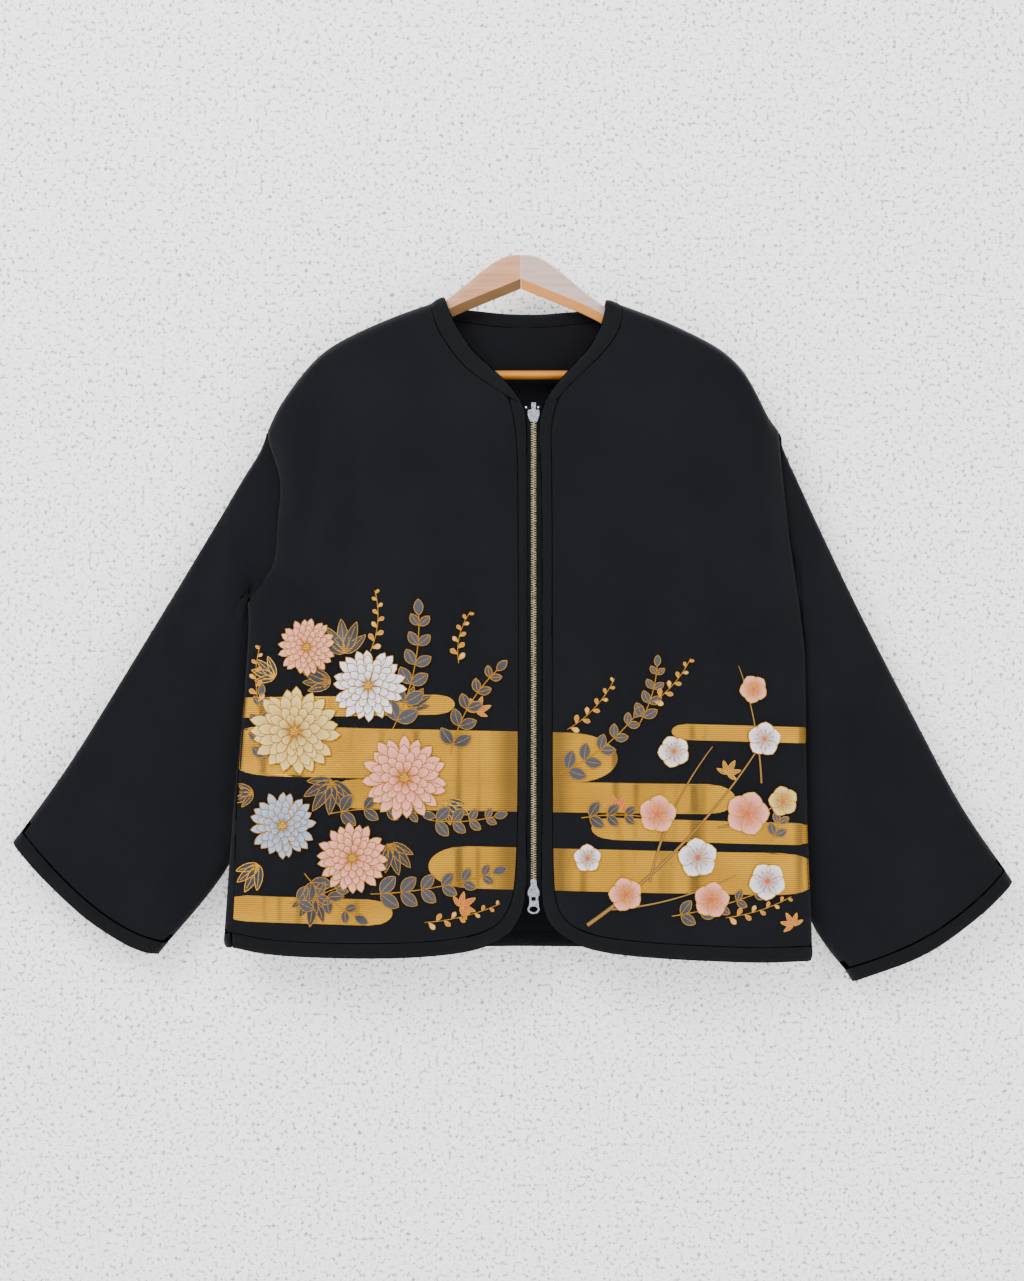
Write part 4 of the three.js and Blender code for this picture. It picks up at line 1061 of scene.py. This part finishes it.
def cuff_seam_shade(side):
    """A strip of painted shade where the cuff is sewn on, laid on both faces of the finished sleeve."""
    cuff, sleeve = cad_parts["cuff_" + side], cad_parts["sleeve_" + side]
    ends = KDTree(len(sleeve.data.vertices))
    for index, vertex in enumerate(sleeve.data.vertices):
        ends.insert(vertex.co, index)
    ends.balance()
    sewn_on = [v.co / MM for v in cuff.data.vertices if ends.find(v.co)[2] < CUFF_SEWN * MM]
    along, down = [p.x for p in sewn_on], [p.z for p in sewn_on]
    arc = np.polyfit(along, down, 3)
    across = np.arange(min(along) - 2, max(along) + 2, 1.0)
    slope = np.polyval(np.polyder(arc), across)
    aside = np.stack([-slope, np.ones(len(slope))], axis=1) / np.sqrt(1 + slope**2)[:, None]
    graph = bpy.context.evaluated_depsgraph_get()
    trees = [BVHTree.FromObject(piece, graph) for piece in (sleeves[side], bindings["cuff_" + side])]
    corners, faces = [], []
    for facing in (-1, 1):
        joined_on = False
        for step, x in enumerate(across):
            wave = 1 + CUFF_SEAM_UNEVEN * noise.noise(Vector((x / 9, facing * 5.0, 3.0)))
            row = []
            for edge in (-0.5, 0.5):
                at = np.array([x, np.polyval(arc, x)]) + aside[step] * edge * CUFF_SEAM_WIDE * wave
                start, way = Vector((at[0] * MM, facing * 0.2, at[1] * MM)), Vector((0, -facing, 0))
                hits = [tree.ray_cast(start, way, 0.4) for tree in trees]
                depths = [hit[0].y for hit in hits if hit[0] is not None]
                if depths:
                    depth = facing * max(facing * y for y in depths) + facing * CUFF_SEAM_LIFT * MM
                    row.append((at[0] * MM, depth, at[1] * MM))
            if len(row) == 2:
                corners += row
                if joined_on:
                    last = len(corners)
                    quad = (last - 4, last - 2, last - 1, last - 3)
                    faces.append(quad if facing < 0 else quad[::-1])
            joined_on = len(row) == 2
    mesh = bpy.data.meshes.new("cuff_seam_shade_" + side)
    mesh.from_pydata(corners, [], faces)
    mesh.materials.append(seam_painted_shade)
    seam = bpy.data.objects.new("cuff_seam_shade_" + side, mesh)
    bpy.context.scene.collection.objects.link(seam)
    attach(seam, "jacket")


for side in ["right", "left"]:
    cuff_seam_shade(side)


# Zip: woven tapes sewn behind the front edges, with a chain of cast metal teeth that two sliders close.
# The teeth are clamped on the tapes' beads and stand half a pitch apart on the two sides.
TOOTH_PITCH = 2.39 * MM
TOOTH_SIZE = (3.6 * MM, 3.5 * MM, 0.95 * MM)
TOOTH_LAP = 0.75 * MM  # how far a tooth reaches past the zip's middle
TOOTH_HEAD = (1, 0.72, 0.62)  # the head's size as shares of the root's
TOOTH_EDGE = 0.22 * MM
SLIDER_EDGE = 0.22 * MM
TAB_EDGE = 0.2 * MM
CHAIN_TOP = -165.5 * MM
CHAIN_COUNT = 193


def twill_tape():
    """Polyester zip tape: near black and matt, in a herringbone of about 1 mm."""
    material, tree, output = new_material("woven_tape")
    place = add(tree, "ShaderNodeTexCoord").outputs["Object"]
    rib = add(
        tree,
        "ShaderNodeTexWave",
        [("Vector", place)],
        bands_direction="DIAGONAL",
        Scale=420.0,
        Distortion=0.4,
    )
    relief = add(tree, "ShaderNodeBump", [("Height", rib.outputs["Fac"])], Strength=0.6, Distance=0.0003)
    tint = add(tree, "ShaderNodeValToRGB", [("Fac", rib.outputs["Fac"])])
    tint.color_ramp.elements[0].color = colour("#050507")
    tint.color_ramp.elements[1].color = colour("#101216")
    surface = add(
        tree,
        "ShaderNodeBsdfPrincipled",
        [("Base Color", tint.outputs[0]), ("Normal", relief.outputs["Normal"])],
        Roughness=0.75,
        Specular_IOR_Level=0.12,
    )
    tree.links.new(surface.outputs[0], output.inputs["Surface"])
    return material


def cast_metal(name, bright, dull, rough):
    """Plated zinc: bright, with a slightly uneven, handled surface."""
    material, tree, output = new_material(name)
    place = add(tree, "ShaderNodeTexCoord").outputs["Object"]
    wear = add(tree, "ShaderNodeTexNoise", [("Vector", place)], Scale=500.0, Detail=3.0, Roughness=0.6)
    tint = add(tree, "ShaderNodeValToRGB", [("Fac", wear.outputs["Fac"])])
    tint.color_ramp.elements[0].position = 0.35
    tint.color_ramp.elements[0].color = colour(dull)
    tint.color_ramp.elements[1].position = 0.6
    tint.color_ramp.elements[1].color = colour(bright)
    relief = add(tree, "ShaderNodeBump", [("Height", wear.outputs["Fac"])], Strength=0.15, Distance=0.0002)
    surface = add(
        tree,
        "ShaderNodeBsdfPrincipled",
        [("Base Color", tint.outputs[0]), ("Normal", relief.outputs["Normal"])],
        Metallic=1.0,
        Roughness=rough,
    )
    tree.links.new(surface.outputs[0], output.inputs["Surface"])
    return material


tape = twill_tape()
for side in ["right", "left"]:
    dress("zip_tape_" + side, tape)

nickel = cast_metal("bright_nickel", "#d3d4de", "#8f909c", 0.22)
brass = cast_metal("antique_brass", "#e3dab4", "#9a9060", 0.24)


def tooth_row(side, sign):
    """One side's teeth: a bevelled block that narrows towards its head, repeated down the tape."""
    tape_low, tape_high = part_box("zip_tape_" + side)
    depth = (tape_low.y + tape_high.y) / 2
    head = ZIP_PLACE * MM + sign * TOOTH_LAP
    centre = (head - sign * TOOTH_SIZE[0] / 2, depth, CHAIN_TOP - (TOOTH_PITCH / 2 if sign > 0 else 0))
    bpy.ops.mesh.primitive_cube_add(size=1, location=centre)
    row = bpy.context.active_object
    row.name = "zip_teeth_" + side
    row.scale = TOOTH_SIZE
    bpy.ops.object.transform_apply(location=True, rotation=True, scale=True)
    bpy.ops.object.mode_set(mode="EDIT")
    bpy.ops.mesh.select_all(action="DESELECT")
    shape = bmesh.from_edit_mesh(row.data)
    for face in shape.faces:
        face.select = face.normal.x * sign > 0.9
    bmesh.update_edit_mesh(row.data)
    bpy.ops.transform.resize(value=TOOTH_HEAD, center_override=(head, depth, centre[2]))
    bpy.ops.mesh.select_all(action="SELECT")
    bpy.ops.mesh.bevel(offset=TOOTH_EDGE, segments=1)
    bpy.ops.object.mode_set(mode="OBJECT")
    repeat = row.modifiers.new("chain", "ARRAY")
    repeat.count = CHAIN_COUNT
    repeat.use_relative_offset = False
    repeat.use_constant_offset = True
    repeat.constant_offset_displace = (0, 0, -TOOTH_PITCH)
    bpy.ops.object.modifier_apply(modifier=repeat.name)
    bpy.ops.object.shade_smooth_by_angle(angle=math.radians(30))
    row.data.materials.append(brass)
    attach(row, "jacket")
    row.select_set(False)


tooth_row("right", 1)
tooth_row("left", -1)

for node in ["slider_top", "slider_bottom", "top_stop_right", "top_stop_left"]:
    dress(node, nickel, SLIDER_EDGE, 40)
for node in ["pull_tab_top", "pull_tab_bottom"]:
    dress(node, nickel, TAB_EDGE, 40)
